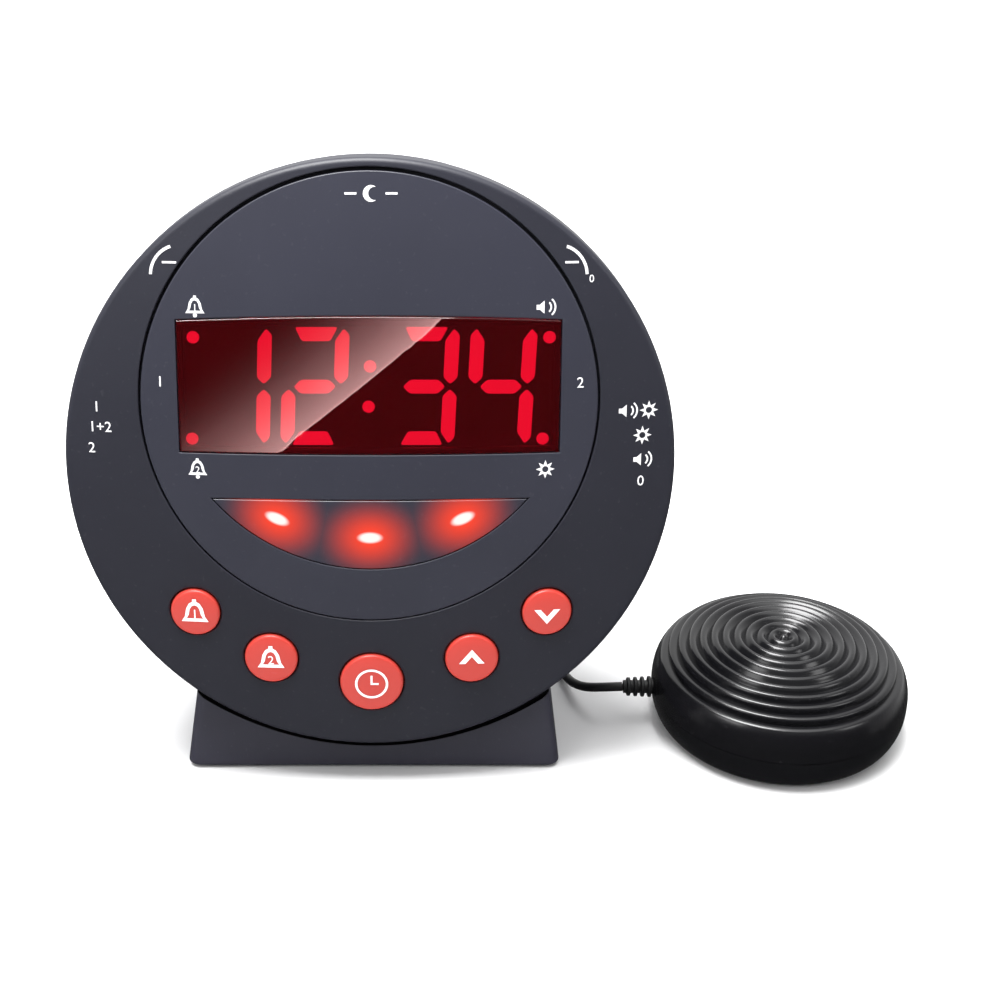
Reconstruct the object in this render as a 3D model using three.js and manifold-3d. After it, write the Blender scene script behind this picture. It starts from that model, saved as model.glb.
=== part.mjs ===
// A vibrating alarm clock: a round clock leaning back on a stand, and a corded bed shaker.
// Millimetres, +Z up, +X to the right of the clock's face, +Y away from the viewer.
import * as THREE from 'three';
import { mergeVertices } from 'three/addons/utils/BufferGeometryUtils.js';
import Module from 'manifold-3d';

const wasm = await Module();
wasm.setup();

// Clearances and walls
const GAP = 0.3;
const RUN = 0.35;
const WALL = 2.4;

// Round face and its rim
const TILT = THREE.MathUtils.degToRad(12);
const FACE_RADIUS = 75;
const FACE_LIFT = 11;
const DOME_RISE = 7;
const RIM_DEPTH = 8;
const RIM_ROUND = 2;

// Face panel, window and flash lens
const PANEL_EDGE = 3;
const BUTTON_BAND = 36.6;
const PANEL_THICK = 2.4;
const PANEL_SEAM_TOP = 0.9;
const PANEL_SEAM_LOW = 0.3;
const LEDGE_WIDTH = 5;
const LEDGE_OUTSIDE = 3;
const LEDGE_THICK = 1.5;
const PANE_THICK = 1.2;
const PANE_SEAM = 0.25;
const PANE_LEDGE = 1.2;
const WINDOW_MARGIN = 5.1;
const WINDOW_TOP = 20.1;
const WINDOW_LOW = -11.8;
const WINDOW_ARCH = 1.4;
const LENS_MARGIN = 13.9;
const LENS_DROP = 17.7;
const LENS_HALF = 38.4;

// Display: four seven-segment digits, a colon and four corner lamps
const DIGIT_HEIGHT = 29.2;
const DIGIT_WIDTH = 16;
const DIGIT_NEAR = 13.2;
const DIGIT_FAR = 31.8;
const SEGMENT_THICK = 3.9;
const SEGMENT_GAP = 0.5;
const SEGMENT_PROUD = 0.4;
const COLON_SPREAD = 5;
const LAMP_RADIUS = 1.6;
const LAMP_INSET = 1.7;
const LAMP_DROP = 2.9;

// Flash lamps behind the lens, placed from its top edge
const FLASH_LENGTH = 6.5;
const FLASH_WIDTH = 3.4;
const FLASH_DEPTH = 6;
const FLASH_SIDE = 22.7;
const FLASH_SIDE_DROP = 4.7;
const FLASH_MIDDLE_DROP = 9.5;
const FLASH_LEAN = THREE.MathUtils.degToRad(24);

// Push buttons: polar angle, distance in from the rim, radius
const BUTTONS = [
  { name: 'alarm1_button', angle: 220.1, inset: 17.4, radius: 6.2 },
  { name: 'alarm2_button', angle: 242.9, inset: 19.4, radius: 6.7 },
  { name: 'time_button', angle: 270, inset: 18.9, radius: 8 },
  { name: 'up_button', angle: 297.1, inset: 19.4, radius: 6.7 },
  { name: 'down_button', angle: 319.9, inset: 17.4, radius: 6.2 },
];
const BUTTON_PROUD = 1;
const BUTTON_TRAVEL = 0.8;
const BUTTON_FLANGE = 1.4;
const BUTTON_FLANGE_THICK = 1.2;
const BUTTON_STEM = 2;

// Main board and what stands on it
const BOARD_FRONT = 9;
const BOARD_THICK = 1.6;
const BOARD_EDGE = 9;
const TACT_SIDE = 6;
const TACT_THICK = 3.5;
const PLUNGER_RADIUS = 1.7;
const PLUNGER_PROUD = 0.6;
const PRESS_SPARE = 0.2;

// Rear housing
const BOWL_STEP = 2.1;
const BOWL_DEPTH = 50;
const BOWL_SWELL = 18;
const BOWL_SHOULDER = 64;
const REAR_RADIUS = 46;
const LIP_DEPTH = 3;
const LIP_THICK = 1.8;
const GRILLE_RADIUS = 21;
const GRILLE_SLOTS = 7;
const GRILLE_PITCH = 5;
const GRILLE_SLOT = 2.2;

// Housing screws and their posts
const SCREW_ANGLES = [58, 122, 198, 342];
const POST_INSET = 11;
const POST_RADIUS = 3.2;
const POST_SHOULDER = 5;
const BOSS_RADIUS = 4.6;
const BOSS_SEAT = 2;
const WELL_RADIUS = 3;
const SCREW_RADIUS = 1.25;
const SCREW_HEAD_RADIUS = 2.5;
const SCREW_HEAD = 1.8;

// Controls round the rear housing
const SNOOZE_HALF = 26;
const SNOOZE_START = 4;
const SNOOZE_LENGTH = 16;
const SNOOZE_PROUD = 1.8;
const SNOOZE_DEPTH = 14.5;
const SNOOZE_FLANGE = 1.5;
const SNOOZE_TRAVEL = 1.5;
const WHEEL_ANGLES = { brightness_wheel: 137, volume_wheel: 43 };
const WHEEL_RADIUS = 9;
const WHEEL_THICK = 4;
const WHEEL_PROUD = 1.9;
const WHEEL_TEETH = 20;
const WHEEL_TOOTH = 0.6;
const POT_RADIUS = 4;
const POT_HEIGHT = 5;
const KNOB_WIDTH = 4;
const KNOB_HEIGHT = 5;
const KNOB_PROUD = 2.4;
const KNOB_SETBACK = 6;
const KNOB_STEM = 10;
const SELECTOR_DEPTH = 7;
const SELECTOR_HEIGHT = 20;
const SELECTOR_THICK = 8;
const ALARM_THROW = { up: 3, down: 3 };
const MODE_THROW = { up: 3, down: 6 };

// Speaker
const SPEAKER_RADIUS = 26;
const SPEAKER_FLANGE = 4;
const SPEAKER_PLATE = 2;
const SPEAKER_DEPTH = 16;
const MAGNET_RADIUS = 14;
const CONE_THICK = 0.8;

// Stand, base plate and battery bay
const FOOT_PROUD = 0.8;
const STAND_WIDTH = 98.7;
const STAND_SHY = 0.47;
const STAND_TOP = 42;
const STAND_LEAN = THREE.MathUtils.degToRad(8.6);
const STAND_CORNER = 3;
const PLATE_THICK = 3;
const STUD_RADIUS = 3.5;
const STUD_INSET = 6;
const FOOT_RADIUS = 4;
const FOOT_SUNK = 1.2;
const FOOT_X = 33.4;
const FOOT_INSET = 9;
const CELL_RADIUS = 10;
const CELL_THICK = 3.2;
const BAY_X = 0;
const BAY_WALL = 1.5;
const DOOR_THICK = 1.6;
const DOOR_LAP = 3;
const DOOR_RAIL = 0.8;
const DOOR_GRIP_RIBS = 4;

// Jacks in the back of the stand
const JACK_Z = 14;
const SUPPLY_JACK_INSET = 15.35;
const SHAKER_JACK_X = -20;
const JACK_SIDE = 9;
const JACK_DEPTH = 13;
const JACK_NOSE = 3.9;
const JACK_BORE = 3;
const JACK_PIN = 1;
const JACK_REACH = 10;

// Bed shaker
const SHAKER_X = 110.5;
const SHAKER_Y = 13.6;
const SHAKER_RADIUS = 34.5;
const SHAKER_HEIGHT = 27;
const SHAKER_SEAM = 10;
const SHAKER_FULLNESS = 2.8;
const SHAKER_FLAT = 29;
const SHAKER_WALL = 2.2;
const RIDGES = 11;
const RIDGE_RISE = 1.1;
const RIDGE_SHARE = 0.8;
const MOTOR_RADIUS = 6.5;
const MOTOR_LENGTH = 22;
const MOTOR_X = -16;
const MOTOR_Z = 12.5;
const SHAFT_RADIUS = 1;
const SHAFT_REACH = 11;
const WEIGHT_RADIUS = 6.8;
const WEIGHT_THICK = 6;
const WEIGHT_SETBACK = 3;
const CRADLE_HALF = 8;
const CRADLE_LENGTH = 16;
const RELIEF_RADIUS = 2.9;
const RELIEF_NECK = 2;
const RELIEF_LENGTH = 7.6;
const RELIEF_FINS = 4;

// Cord, its plug, coil and tie
const CORD_DIAMETER = 2.5;
const PLUG_RADIUS = 4.6;
const PLUG_LENGTH = 17;
const PLUG_TAIL = 9;
const PLUG_PIN = 2.6;
const PLUG_SLEEVE = 0.9;
const COIL_X = 40;
const COIL_Y = 92;
const COIL_RADIUS = 15;
const COIL_LAYERS = 4;
const LAYER_TURNS = 3.9375;
const CLIMB_TURNS = 0.5;
const TURN_PITCH = 3.4;
const LAYER_PITCH = 3.2;
const STEPS_PER_TURN = 14;
const TIE_THICK = 0.8;
const TIE_WIDTH = 5;
const LEAD_STEP = 2.2;

// Routes of the cord's free stretches
const SHAKER_LEAD = [
  [67.8, 13.6, 10], [65.2, 13.6, 9.9], [62, 14.4, 9.2], [58.7, 17, 7.4], [56.2, 21.6, 5],
  [54.4, 27, 3], [53, 33.5, 1.7], [52.3, 40, 1.3], [52.1, 46, 1.27], [52.5, 53, 1.27], [53.6, 60, 1.27],
  [55.8, 68, 1.3], [58.4, 75, 1.5], [60.6, 82, 2], [61.5, 86.6, 2.3], [61.6, 89.2, 2.35],
];
const CLOCK_LEAD = [
  [37.2, 113.6, 11.95], [34.7, 113.6, 11.9], [31, 113.4, 11.5], [26, 112.8, 10.6], [18, 111.2, 9.2],
  [9, 108.6, 8], [0, 105.4, 7.4], [-7.5, 101.4, 7.8], [-13.2, 97.2, 9.2], [-17.2, 92.8, 11.3],
  [-19.4, 89.4, 13], [-20, 86.8, 13.9], [-20, 84.6, 14],
];

// Facets
const FACE_SIDES = 40;
const DOME_SIDES = 24;
const BOWL_SIDES = 36;
const SHAKER_SIDES = 30;
const ROUND_SIDES = 12;
const SMALL_SIDES = 8;
const DOME_STEPS = 3;
const BOWL_STEPS = 5;
const SHAKER_STEPS = 4;
const ROUND_STEPS = 2;
const RIDGE_STEPS = 3;
const COIL_SIDES = 6;
const LEAD_SIDES = 8;
const GAP_POINTS = 48;

// Sizes that follow from the ones above
const FACE_HEIGHT = FACE_RADIUS + FACE_LIFT;
const DOME_RADIUS = (FACE_RADIUS ** 2 + DOME_RISE ** 2) / (2 * DOME_RISE);
const PANEL_RADIUS = (2 * FACE_RADIUS - PANEL_EDGE - BUTTON_BAND) / 2;
const PANEL_UP = FACE_RADIUS - PANEL_EDGE - PANEL_RADIUS;
const RECESS_RADIUS = PANEL_RADIUS + (PANEL_SEAM_TOP + PANEL_SEAM_LOW) / 2;
const RECESS_UP = PANEL_UP + (PANEL_SEAM_TOP - PANEL_SEAM_LOW) / 2;
const RECESS_DEPTH = PANEL_THICK + GAP;
const POCKET_DEPTH = PANE_THICK + GAP;
const WINDOW_HALF = Math.sqrt((PANEL_RADIUS - WINDOW_MARGIN) ** 2 - WINDOW_TOP ** 2);
const LENS_LOW = LENS_MARGIN - PANEL_RADIUS;
const LENS_TOP = LENS_LOW + LENS_DROP;
const LENS_RADIUS = (LENS_HALF ** 2 + LENS_DROP ** 2) / (2 * LENS_DROP);
const BOARD_BACK = BOARD_FRONT + BOARD_THICK;
const BOARD_RADIUS = FACE_RADIUS - BOARD_EDGE;
const MODULE_BACK = BOARD_FRONT - GAP;
const RIM_INNER = FACE_RADIUS - WALL;
const BOWL_START = RIM_DEPTH + GAP;
const BOWL_RADIUS = FACE_RADIUS - BOWL_STEP;
const POST_RING = FACE_RADIUS - POST_INSET;
const POST_END = BOARD_BACK + BOSS_SEAT;
const BOSS_START = POST_END + GAP;
const SEAT_Y = BOSS_START + BOSS_SEAT;
const THROUGH = 4 * FACE_RADIUS;
const STAND_FRONT = (RIM_DEPTH + GAP) / Math.cos(TILT) - (FACE_HEIGHT - FOOT_PROUD) * Math.tan(TILT);
const STAND_BACK = BOWL_DEPTH * Math.cos(TILT) + REAR_RADIUS * Math.sin(TILT) - STAND_SHY;
const SUPPLY_JACK_X = SUPPLY_JACK_INSET - STAND_WIDTH / 2;
const PLATE_TOP = FOOT_PROUD + PLATE_THICK;
const DOOR_TOP = FOOT_PROUD + DOOR_THICK;
const BAY_BACK = STAND_BACK - WALL - GAP - BAY_WALL;
const BAY_FRONT = BAY_BACK - 2 * (CELL_RADIUS + GAP);
const COIL_OUTER = COIL_RADIUS + (TURN_PITCH * LAYER_TURNS) / 2;
const COIL_INNER = COIL_RADIUS - (TURN_PITCH * LAYER_TURNS) / 2;
const COIL_LOW = TIE_THICK + GAP + CORD_DIAMETER / 2;
const COIL_TURNS = COIL_LAYERS * LAYER_TURNS + (COIL_LAYERS - 1) * CLIMB_TURNS;

// Plain shapes

// Makes a closed solid from a three.js geometry, with its faces pointing out.
function solid(geometry) {
  const plain = new THREE.BufferGeometry();
  plain.setAttribute('position', geometry.getAttribute('position').clone());
  if (geometry.index) {
    plain.setIndex(geometry.index.clone());
  }
  const merged = mergeVertices(plain, 1e-4);
  const points = merged.getAttribute('position');
  const corners = [new THREE.Vector3(), new THREE.Vector3(), new THREE.Vector3()];
  const triangles = [];
  let volume = 0;
  for (let i = 0; i < merged.index.count; i += 3) {
    const ids = [0, 1, 2].map((k) => merged.index.getX(i + k));
    if (new Set(ids).size < 3) {
      continue;
    }
    triangles.push(ids);
    ids.forEach((id, k) => corners[k].fromBufferAttribute(points, id));
    volume += corners[0].dot(corners[1].clone().cross(corners[2]));
  }
  const triVerts = Uint32Array.from(triangles.flatMap(([a, b, c]) => (volume < 0 ? [a, c, b] : [a, b, c])));
  const vertProperties = Float32Array.from(points.array);
  return new wasm.Manifold(new wasm.Mesh({ numProp: 3, vertProperties, triVerts }));
}

// Box between two corners.
function block(x0, x1, y0, y1, z0, z1) {
  const box = new THREE.BoxGeometry(x1 - x0, y1 - y0, z1 - z0);
  return solid(box.translate((x0 + x1) / 2, (y0 + y1) / 2, (z0 + z1) / 2));
}

// Round rods along X, Y and Z.
function rodX(radius, x0, x1, y, z, sides = ROUND_SIDES) {
  const rod = new THREE.CylinderGeometry(radius, radius, x1 - x0, sides);
  return solid(rod.rotateZ(Math.PI / 2).translate((x0 + x1) / 2, y, z));
}

function rodY(radius, y0, y1, x, z, sides = ROUND_SIDES) {
  const rod = new THREE.CylinderGeometry(radius, radius, y1 - y0, sides);
  return solid(rod.translate(x, (y0 + y1) / 2, z));
}

function rodZ(radius, z0, z1, x, y, sides = ROUND_SIDES) {
  const rod = new THREE.CylinderGeometry(radius, radius, z1 - z0, sides);
  return solid(rod.rotateX(Math.PI / 2).translate(x, y, (z0 + z1) / 2));
}

// Profile of [radius, height] pairs turned about Y.
function turned(profile, sides) {
  return solid(new THREE.LatheGeometry(profile.map(([r, y]) => new THREE.Vector2(r, y)), sides));
}

// The same profile turned about Z.
function turnedUp(profile, sides) {
  const lathe = new THREE.LatheGeometry(profile.map(([r, y]) => new THREE.Vector2(r, y)), sides);
  return solid(lathe.rotateX(Math.PI / 2));
}

// Outline in the face's plane, pushed along Y from y0 to y1.
function facePrism(shape, y0, y1, curveSegments = 8) {
  const prism = new THREE.ExtrudeGeometry(shape, { depth: y1 - y0, bevelEnabled: false, curveSegments });
  return solid(prism.rotateX(Math.PI / 2).translate(0, y1, 0));
}

function polar(radius, degrees) {
  const angle = THREE.MathUtils.degToRad(degrees);
  return { x: radius * Math.cos(angle), z: radius * Math.sin(angle) };
}

function geometryOf(body) {
  const made = body.getMesh();
  const geometry = new THREE.BufferGeometry();
  geometry.setAttribute('position', new THREE.BufferAttribute(made.vertProperties, 3));
  geometry.setIndex(new THREE.BufferAttribute(made.triVerts, 1));
  return geometry;
}

// Adds one named sub-part to a group.
function place(group, name, body, colour, roughness, metalness = 0) {
  const geometry = geometryOf(body);
  geometry.computeVertexNormals();
  const material = new THREE.MeshStandardMaterial({ color: colour, roughness, metalness });
  const mesh = new THREE.Mesh(geometry, material);
  mesh.name = name;
  group.add(mesh);
}

// Clock head, in its own frame: face centre at the origin, Y along the face's axis

// Depth of the domed face at a distance from its centre.
function domeY(radius) {
  return DOME_RADIUS - DOME_RISE - Math.sqrt(DOME_RADIUS ** 2 - radius ** 2);
}

function domeCurve(offset, reach) {
  const curve = [];
  for (let i = 0; i <= DOME_STEPS; i += 1) {
    const radius = (reach * i) / DOME_STEPS;
    curve.push([radius, domeY(radius) + offset]);
  }
  return curve;
}

// Layer of the dome between two offsets behind its surface.
function domeSlab(front, back, reach = FACE_RADIUS) {
  return turned([...domeCurve(front, reach), ...domeCurve(back, reach).reverse()], DOME_SIDES);
}

function rimArc() {
  const centreR = FACE_RADIUS - RIM_ROUND;
  const arc = [];
  for (let i = 1; i <= ROUND_STEPS; i += 1) {
    const angle = (Math.PI / 2) * (i / ROUND_STEPS);
    const radius = centreR + RIM_ROUND * Math.sin(angle);
    arc.push([radius, domeY(centreR) + RIM_ROUND * (1 - Math.cos(angle))]);
  }
  return arc;
}

function screwPlaces() {
  return SCREW_ANGLES.map((angle) => polar(POST_RING, angle));
}

function buttonPlace(button) {
  return polar(FACE_RADIUS - button.inset, button.angle);
}

function frontHousing() {
  const shell = turned([
    ...domeCurve(0, FACE_RADIUS - RIM_ROUND),
    ...rimArc(),
    [FACE_RADIUS, RIM_DEPTH],
    [RIM_INNER, RIM_DEPTH],
    ...domeCurve(WALL, RIM_INNER).reverse(),
  ], FACE_SIDES);
  const opening = RECESS_RADIUS - LEDGE_WIDTH;
  const ledge = rodY(RECESS_RADIUS + LEDGE_OUTSIDE, -THROUGH, THROUGH, 0, RECESS_UP, FACE_SIDES)
    .intersect(domeSlab(WALL / 2, RECESS_DEPTH + LEDGE_THICK, RIM_INNER + GAP));
  let housing = shell.add(ledge).subtract(rodY(opening, -THROUGH, THROUGH, 0, RECESS_UP, FACE_SIDES));
  for (const { x, z } of screwPlaces()) {
    const root = domeY(POST_RING) + WALL / 2;
    housing = housing
      .add(rodY(POST_SHOULDER, root, BOARD_FRONT - GAP, x, z, SMALL_SIDES))
      .add(rodY(POST_RADIUS, root, POST_END, x, z, SMALL_SIDES))
      .subtract(rodY(SCREW_RADIUS + GAP, root + WALL, POST_END + GAP, x, z, SMALL_SIDES));
  }
  const recess = rodY(RECESS_RADIUS, -THROUGH, THROUGH, 0, RECESS_UP, FACE_SIDES)
    .intersect(domeSlab(-DOME_RISE, RECESS_DEPTH));
  housing = housing.subtract(recess);
  for (const button of BUTTONS) {
    const { x, z } = buttonPlace(button);
    housing = housing.subtract(rodY(button.radius + RUN, -DOME_RISE, BOARD_FRONT, x, z, 2 * ROUND_SIDES));
  }
  return housing;
}

// Window outline, its edges moved in by an inset.
function windowShape(inset) {
  const half = WINDOW_HALF - inset;
  const low = PANEL_UP + WINDOW_LOW + inset;
  const high = PANEL_UP + WINDOW_TOP - inset;
  const shape = new THREE.Shape();
  shape.moveTo(-half, low);
  shape.lineTo(half, low);
  shape.lineTo(half, high);
  shape.quadraticCurveTo(0, high + 2 * WINDOW_ARCH, -half, high);
  shape.closePath();
  return shape;
}

// Lens outline: a chord above, an arc below.
function lensShape(inset) {
  const radius = LENS_RADIUS - inset;
  const centre = PANEL_UP + LENS_LOW + LENS_RADIUS;
  const chord = PANEL_UP + LENS_TOP - inset;
  const half = Math.sqrt(radius ** 2 - (chord - centre) ** 2);
  const end = Math.atan2(chord - centre, half);
  const shape = new THREE.Shape();
  shape.moveTo(-half, chord);
  shape.absarc(0, centre, radius, -Math.PI - end, end, false);
  shape.closePath();
  return shape;
}

function facePanel() {
  let panel = rodY(PANEL_RADIUS, -THROUGH, THROUGH, 0, PANEL_UP, FACE_SIDES)
    .intersect(domeSlab(0, PANEL_THICK));
  const pocket = domeSlab(-DOME_RISE, POCKET_DEPTH);
  for (const outline of [windowShape, lensShape]) {
    panel = panel
      .subtract(facePrism(outline(-PANE_SEAM), -THROUGH, THROUGH).intersect(pocket))
      .subtract(facePrism(outline(PANE_LEDGE), -THROUGH, THROUGH));
  }
  return panel;
}

function pane(outline) {
  return facePrism(outline(0), -THROUGH, THROUGH).intersect(domeSlab(0, PANE_THICK));
}

// One bar of a digit, pointed at both ends.
function segmentShape(x, z, length, upright) {
  const half = length / 2;
  const side = SEGMENT_THICK / 2;
  const corners = [[-half, 0], [side - half, -side], [half - side, -side],
    [half, 0], [half - side, side], [side - half, side]];
  const points = corners.map(([u, v]) => (
    upright ? new THREE.Vector2(x - v, z + u) : new THREE.Vector2(x + u, z + v)
  ));
  return new THREE.Shape(points);
}

// Bars of a digit, by the usual letters a to g.
function digitShapes(centreX, centreZ, lit) {
  const column = (DIGIT_WIDTH - SEGMENT_THICK) / 2;
  const row = (DIGIT_HEIGHT - SEGMENT_THICK) / 2;
  const level = 2 * column - SEGMENT_GAP;
  const upright = row - SEGMENT_GAP;
  const bars = {
    a: [0, row, level, false], b: [column, row / 2, upright, true], c: [column, -row / 2, upright, true],
    d: [0, -row, level, false], e: [-column, -row / 2, upright, true], f: [-column, row / 2, upright, true],
    g: [0, 0, level, false],
  };
  return [...lit].map((key) => {
    const [x, z, length, standing] = bars[key];
    return segmentShape(centreX + x, centreZ + z, length, standing);
  });
}

function moduleFront() {
  const corner = Math.hypot(WINDOW_HALF, PANEL_UP + WINDOW_TOP);
  return domeY(corner) + POCKET_DEPTH + SEGMENT_PROUD + GAP;
}

function displayModule() {
  const half = WINDOW_HALF - PANE_LEDGE - GAP;
  const low = PANEL_UP + WINDOW_LOW + GAP;
  const high = PANEL_UP + WINDOW_TOP - PANE_LEDGE - GAP;
  const middle = (low + high) / 2;
  const front = moduleFront();
  let module = block(-half, half, front, MODULE_BACK, low, high);
  const digits = [[-DIGIT_FAR, 'bc'], [-DIGIT_NEAR, 'abged'], [DIGIT_NEAR, 'abgcd'], [DIGIT_FAR, 'fgbc']];
  for (const [x, lit] of digits) {
    for (const shape of digitShapes(x, middle, lit)) {
      module = module.add(facePrism(shape, front - SEGMENT_PROUD, front + SEGMENT_PROUD));
    }
  }
  const lamps = [[0, middle + COLON_SPREAD], [0, middle - COLON_SPREAD]];
  for (const side of [-1, 1]) {
    lamps.push([side * (half - LAMP_INSET), high - LAMP_DROP]);
    lamps.push([side * (half - LAMP_INSET), low + LAMP_INSET]);
  }
  for (const [x, z] of lamps) {
    module = module.add(rodY(LAMP_RADIUS, front - SEGMENT_PROUD, front + SEGMENT_PROUD, x, z, SMALL_SIDES));
  }
  return module;
}

// Oblong lamp with round ends, leaning along the lens's arc.
function flashLamp(x, z, lean) {
  const reach = (FLASH_LENGTH - FLASH_WIDTH) / 2;
  const shape = new THREE.Shape();
  shape.absarc(reach, 0, FLASH_WIDTH / 2, -Math.PI / 2, Math.PI / 2, false);
  shape.absarc(-reach, 0, FLASH_WIDTH / 2, Math.PI / 2, 1.5 * Math.PI, false);
  const options = { depth: FLASH_DEPTH, bevelEnabled: false, curveSegments: 6 };
  const prism = new THREE.ExtrudeGeometry(shape, options);
  prism.rotateZ(lean).rotateX(Math.PI / 2).translate(x, BOARD_FRONT - GAP, z);
  return solid(prism);
}

function flangeFront(button) {
  const outerEdge = FACE_RADIUS - button.inset + button.radius + BUTTON_FLANGE;
  return domeY(outerEdge) + WALL + GAP;
}

function tactFront() {
  return BOARD_FRONT - GAP - TACT_THICK - PLUNGER_PROUD;
}

// Button cap that follows the dome, with a flange behind the wall and a stem to its switch.
function pushButton(button) {
  const { x, z } = buttonPlace(button);
  const flange = flangeFront(button);
  const flangeBack = flange + BUTTON_FLANGE_THICK;
  const stemEnd = tactFront() - BUTTON_TRAVEL - PRESS_SPARE;
  const cap = rodY(button.radius, -2 * DOME_RISE, flange + BUTTON_FLANGE_THICK / 2, x, z, 2 * ROUND_SIDES)
    .intersect(domeSlab(-BUTTON_PROUD, THROUGH, FACE_RADIUS));
  return cap
    .add(rodY(button.radius + BUTTON_FLANGE, flange, flangeBack, x, z, 2 * ROUND_SIDES))
    .add(rodY(BUTTON_STEM, flange, Math.max(stemEnd, flangeBack), x, z, SMALL_SIDES));
}

function tactSwitch(x, z) {
  const side = TACT_SIDE / 2;
  const back = BOARD_FRONT - GAP;
  return block(x - side, x + side, back - TACT_THICK, back, z - side, z + side)
    .add(rodY(PLUNGER_RADIUS, tactFront(), back - TACT_THICK / 2, x, z, SMALL_SIDES));
}

function mainBoard() {
  let board = rodY(BOARD_RADIUS, BOARD_FRONT, BOARD_BACK, 0, 0, BOWL_SIDES);
  for (const { x, z } of screwPlaces()) {
    board = board.subtract(rodY(POST_RADIUS + GAP, -THROUGH, THROUGH, x, z));
  }
  return board;
}

// Outer curve of the rear housing, moved outwards by an offset.
function bowlCurve(offset) {
  const curve = new THREE.CubicBezierCurve(
    new THREE.Vector2(BOWL_RADIUS, BOWL_START),
    new THREE.Vector2(BOWL_RADIUS, BOWL_START + BOWL_SWELL),
    new THREE.Vector2(BOWL_SHOULDER, BOWL_DEPTH),
    new THREE.Vector2(REAR_RADIUS, BOWL_DEPTH),
  );
  const points = [];
  for (let i = 0; i <= BOWL_STEPS; i += 1) {
    const point = curve.getPoint(i / BOWL_STEPS);
    const tangent = curve.getTangent(i / BOWL_STEPS);
    points.push([point.x + offset * tangent.y, point.y - offset * tangent.x]);
  }
  return points;
}

// Solid bowl, used to shape what fits round it or through it.
function bowlSolid(offset, front = BOWL_START) {
  const curve = bowlCurve(offset);
  return turned([[0, front], [BOWL_RADIUS + offset, front], ...curve, [0, BOWL_DEPTH + offset]], BOWL_SIDES);
}

// Radius of the bowl at a depth behind the face.
function bowlRadius(depth) {
  const curve = bowlCurve(0);
  const next = curve.findIndex(([, y]) => y >= depth);
  const [r0, y0] = curve[next - 1];
  const [r1, y1] = curve[next];
  return r0 + ((r1 - r0) * (depth - y0)) / (y1 - y0);
}

function snoozeBox(clearance) {
  const start = BOWL_START + SNOOZE_START;
  const low = snoozeLow() - SNOOZE_FLANGE;
  return block(-SNOOZE_HALF - clearance, SNOOZE_HALF + clearance, start - clearance,
    start + SNOOZE_LENGTH + clearance, low - clearance, THROUGH);
}

// Height of the underside of the snooze bar above the face's centre.
function snoozeLow() {
  return bowlRadius(BOWL_START + SNOOZE_START) - SNOOZE_DEPTH;
}

function snoozeBar() {
  const start = BOWL_START + SNOOZE_START;
  const low = snoozeLow();
  const edge = SNOOZE_FLANGE;
  const flange = block(-SNOOZE_HALF - edge, SNOOZE_HALF + edge, start - edge, start + SNOOZE_LENGTH + edge,
    low - edge, low);
  return bowlSolid(SNOOZE_PROUD).intersect(snoozeBox(0)).add(flange);
}

function snoozeSwitch() {
  const side = TACT_SIDE / 2;
  const top = snoozeLow() - SNOOZE_FLANGE - SNOOZE_TRAVEL - PRESS_SPARE;
  const start = BOARD_BACK + GAP;
  const middle = start + side;
  const roof = top - PLUNGER_PROUD;
  const body = block(-side, side, start, start + TACT_SIDE, roof - TACT_THICK, roof);
  return body.add(rodZ(PLUNGER_RADIUS, roof - TACT_THICK / 2, top, 0, middle, SMALL_SIDES));
}

function wheelStart() {
  return BOARD_BACK + GAP + POT_HEIGHT + GAP;
}

// Centre of a thumbwheel, set so that its edge stands out of the bowl.
function wheelPlace(angle) {
  const middle = wheelStart() + WHEEL_THICK / 2;
  return polar(bowlRadius(middle) + WHEEL_PROUD - WHEEL_RADIUS, angle);
}

function thumbwheel(angle) {
  const { x, z } = wheelPlace(angle);
  const shape = new THREE.Shape();
  for (let i = 0; i < 2 * WHEEL_TEETH; i += 1) {
    const turn = (Math.PI * i) / WHEEL_TEETH;
    const radius = WHEEL_RADIUS - (i % 2) * WHEEL_TOOTH;
    const corner = [x + radius * Math.cos(turn), z + radius * Math.sin(turn)];
    if (i === 0) {
      shape.moveTo(...corner);
    } else {
      shape.lineTo(...corner);
    }
  }
  shape.closePath();
  return facePrism(shape, wheelStart(), wheelStart() + WHEEL_THICK);
}

function wheelSlot(angle) {
  const { x, z } = wheelPlace(angle);
  const start = wheelStart() - RUN;
  const end = wheelStart() + WHEEL_THICK + RUN;
  return rodY(WHEEL_RADIUS + 2 * RUN, start, end, x, z, 2 * ROUND_SIDES);
}

function wheelPot(angle) {
  const { x, z } = wheelPlace(angle);
  return rodY(POT_RADIUS, BOARD_BACK + GAP, BOARD_BACK + GAP + POT_HEIGHT, x, z);
}

// Depth of the selectors' knobs behind the face.
function knobY() {
  return BOWL_START + KNOB_SETBACK;
}

function selectorKnob(side) {
  const outer = bowlRadius(knobY()) + KNOB_PROUD;
  const inner = bowlRadius(knobY()) - KNOB_STEM;
  const y = knobY();
  const xs = [side * inner, side * outer].sort((a, b) => a - b);
  const half = KNOB_HEIGHT / 2;
  const body = block(xs[0], xs[1], y - KNOB_WIDTH / 2, y + KNOB_WIDTH / 2, -half, half);
  const notch = rodY(KNOB_HEIGHT / 4, y - KNOB_WIDTH, y + KNOB_WIDTH, side * outer, 0, SMALL_SIDES);
  return body.subtract(notch);
}

function selectorSlot(side, range) {
  const y = knobY();
  const half = KNOB_HEIGHT / 2 + RUN;
  const xs = [side * (bowlRadius(y) - KNOB_STEM / 2), side * THROUGH].sort((a, b) => a - b);
  return block(xs[0], xs[1], y - KNOB_WIDTH / 2 - RUN, y + KNOB_WIDTH / 2 + RUN,
    -half - range.down, half + range.up);
}

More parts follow.
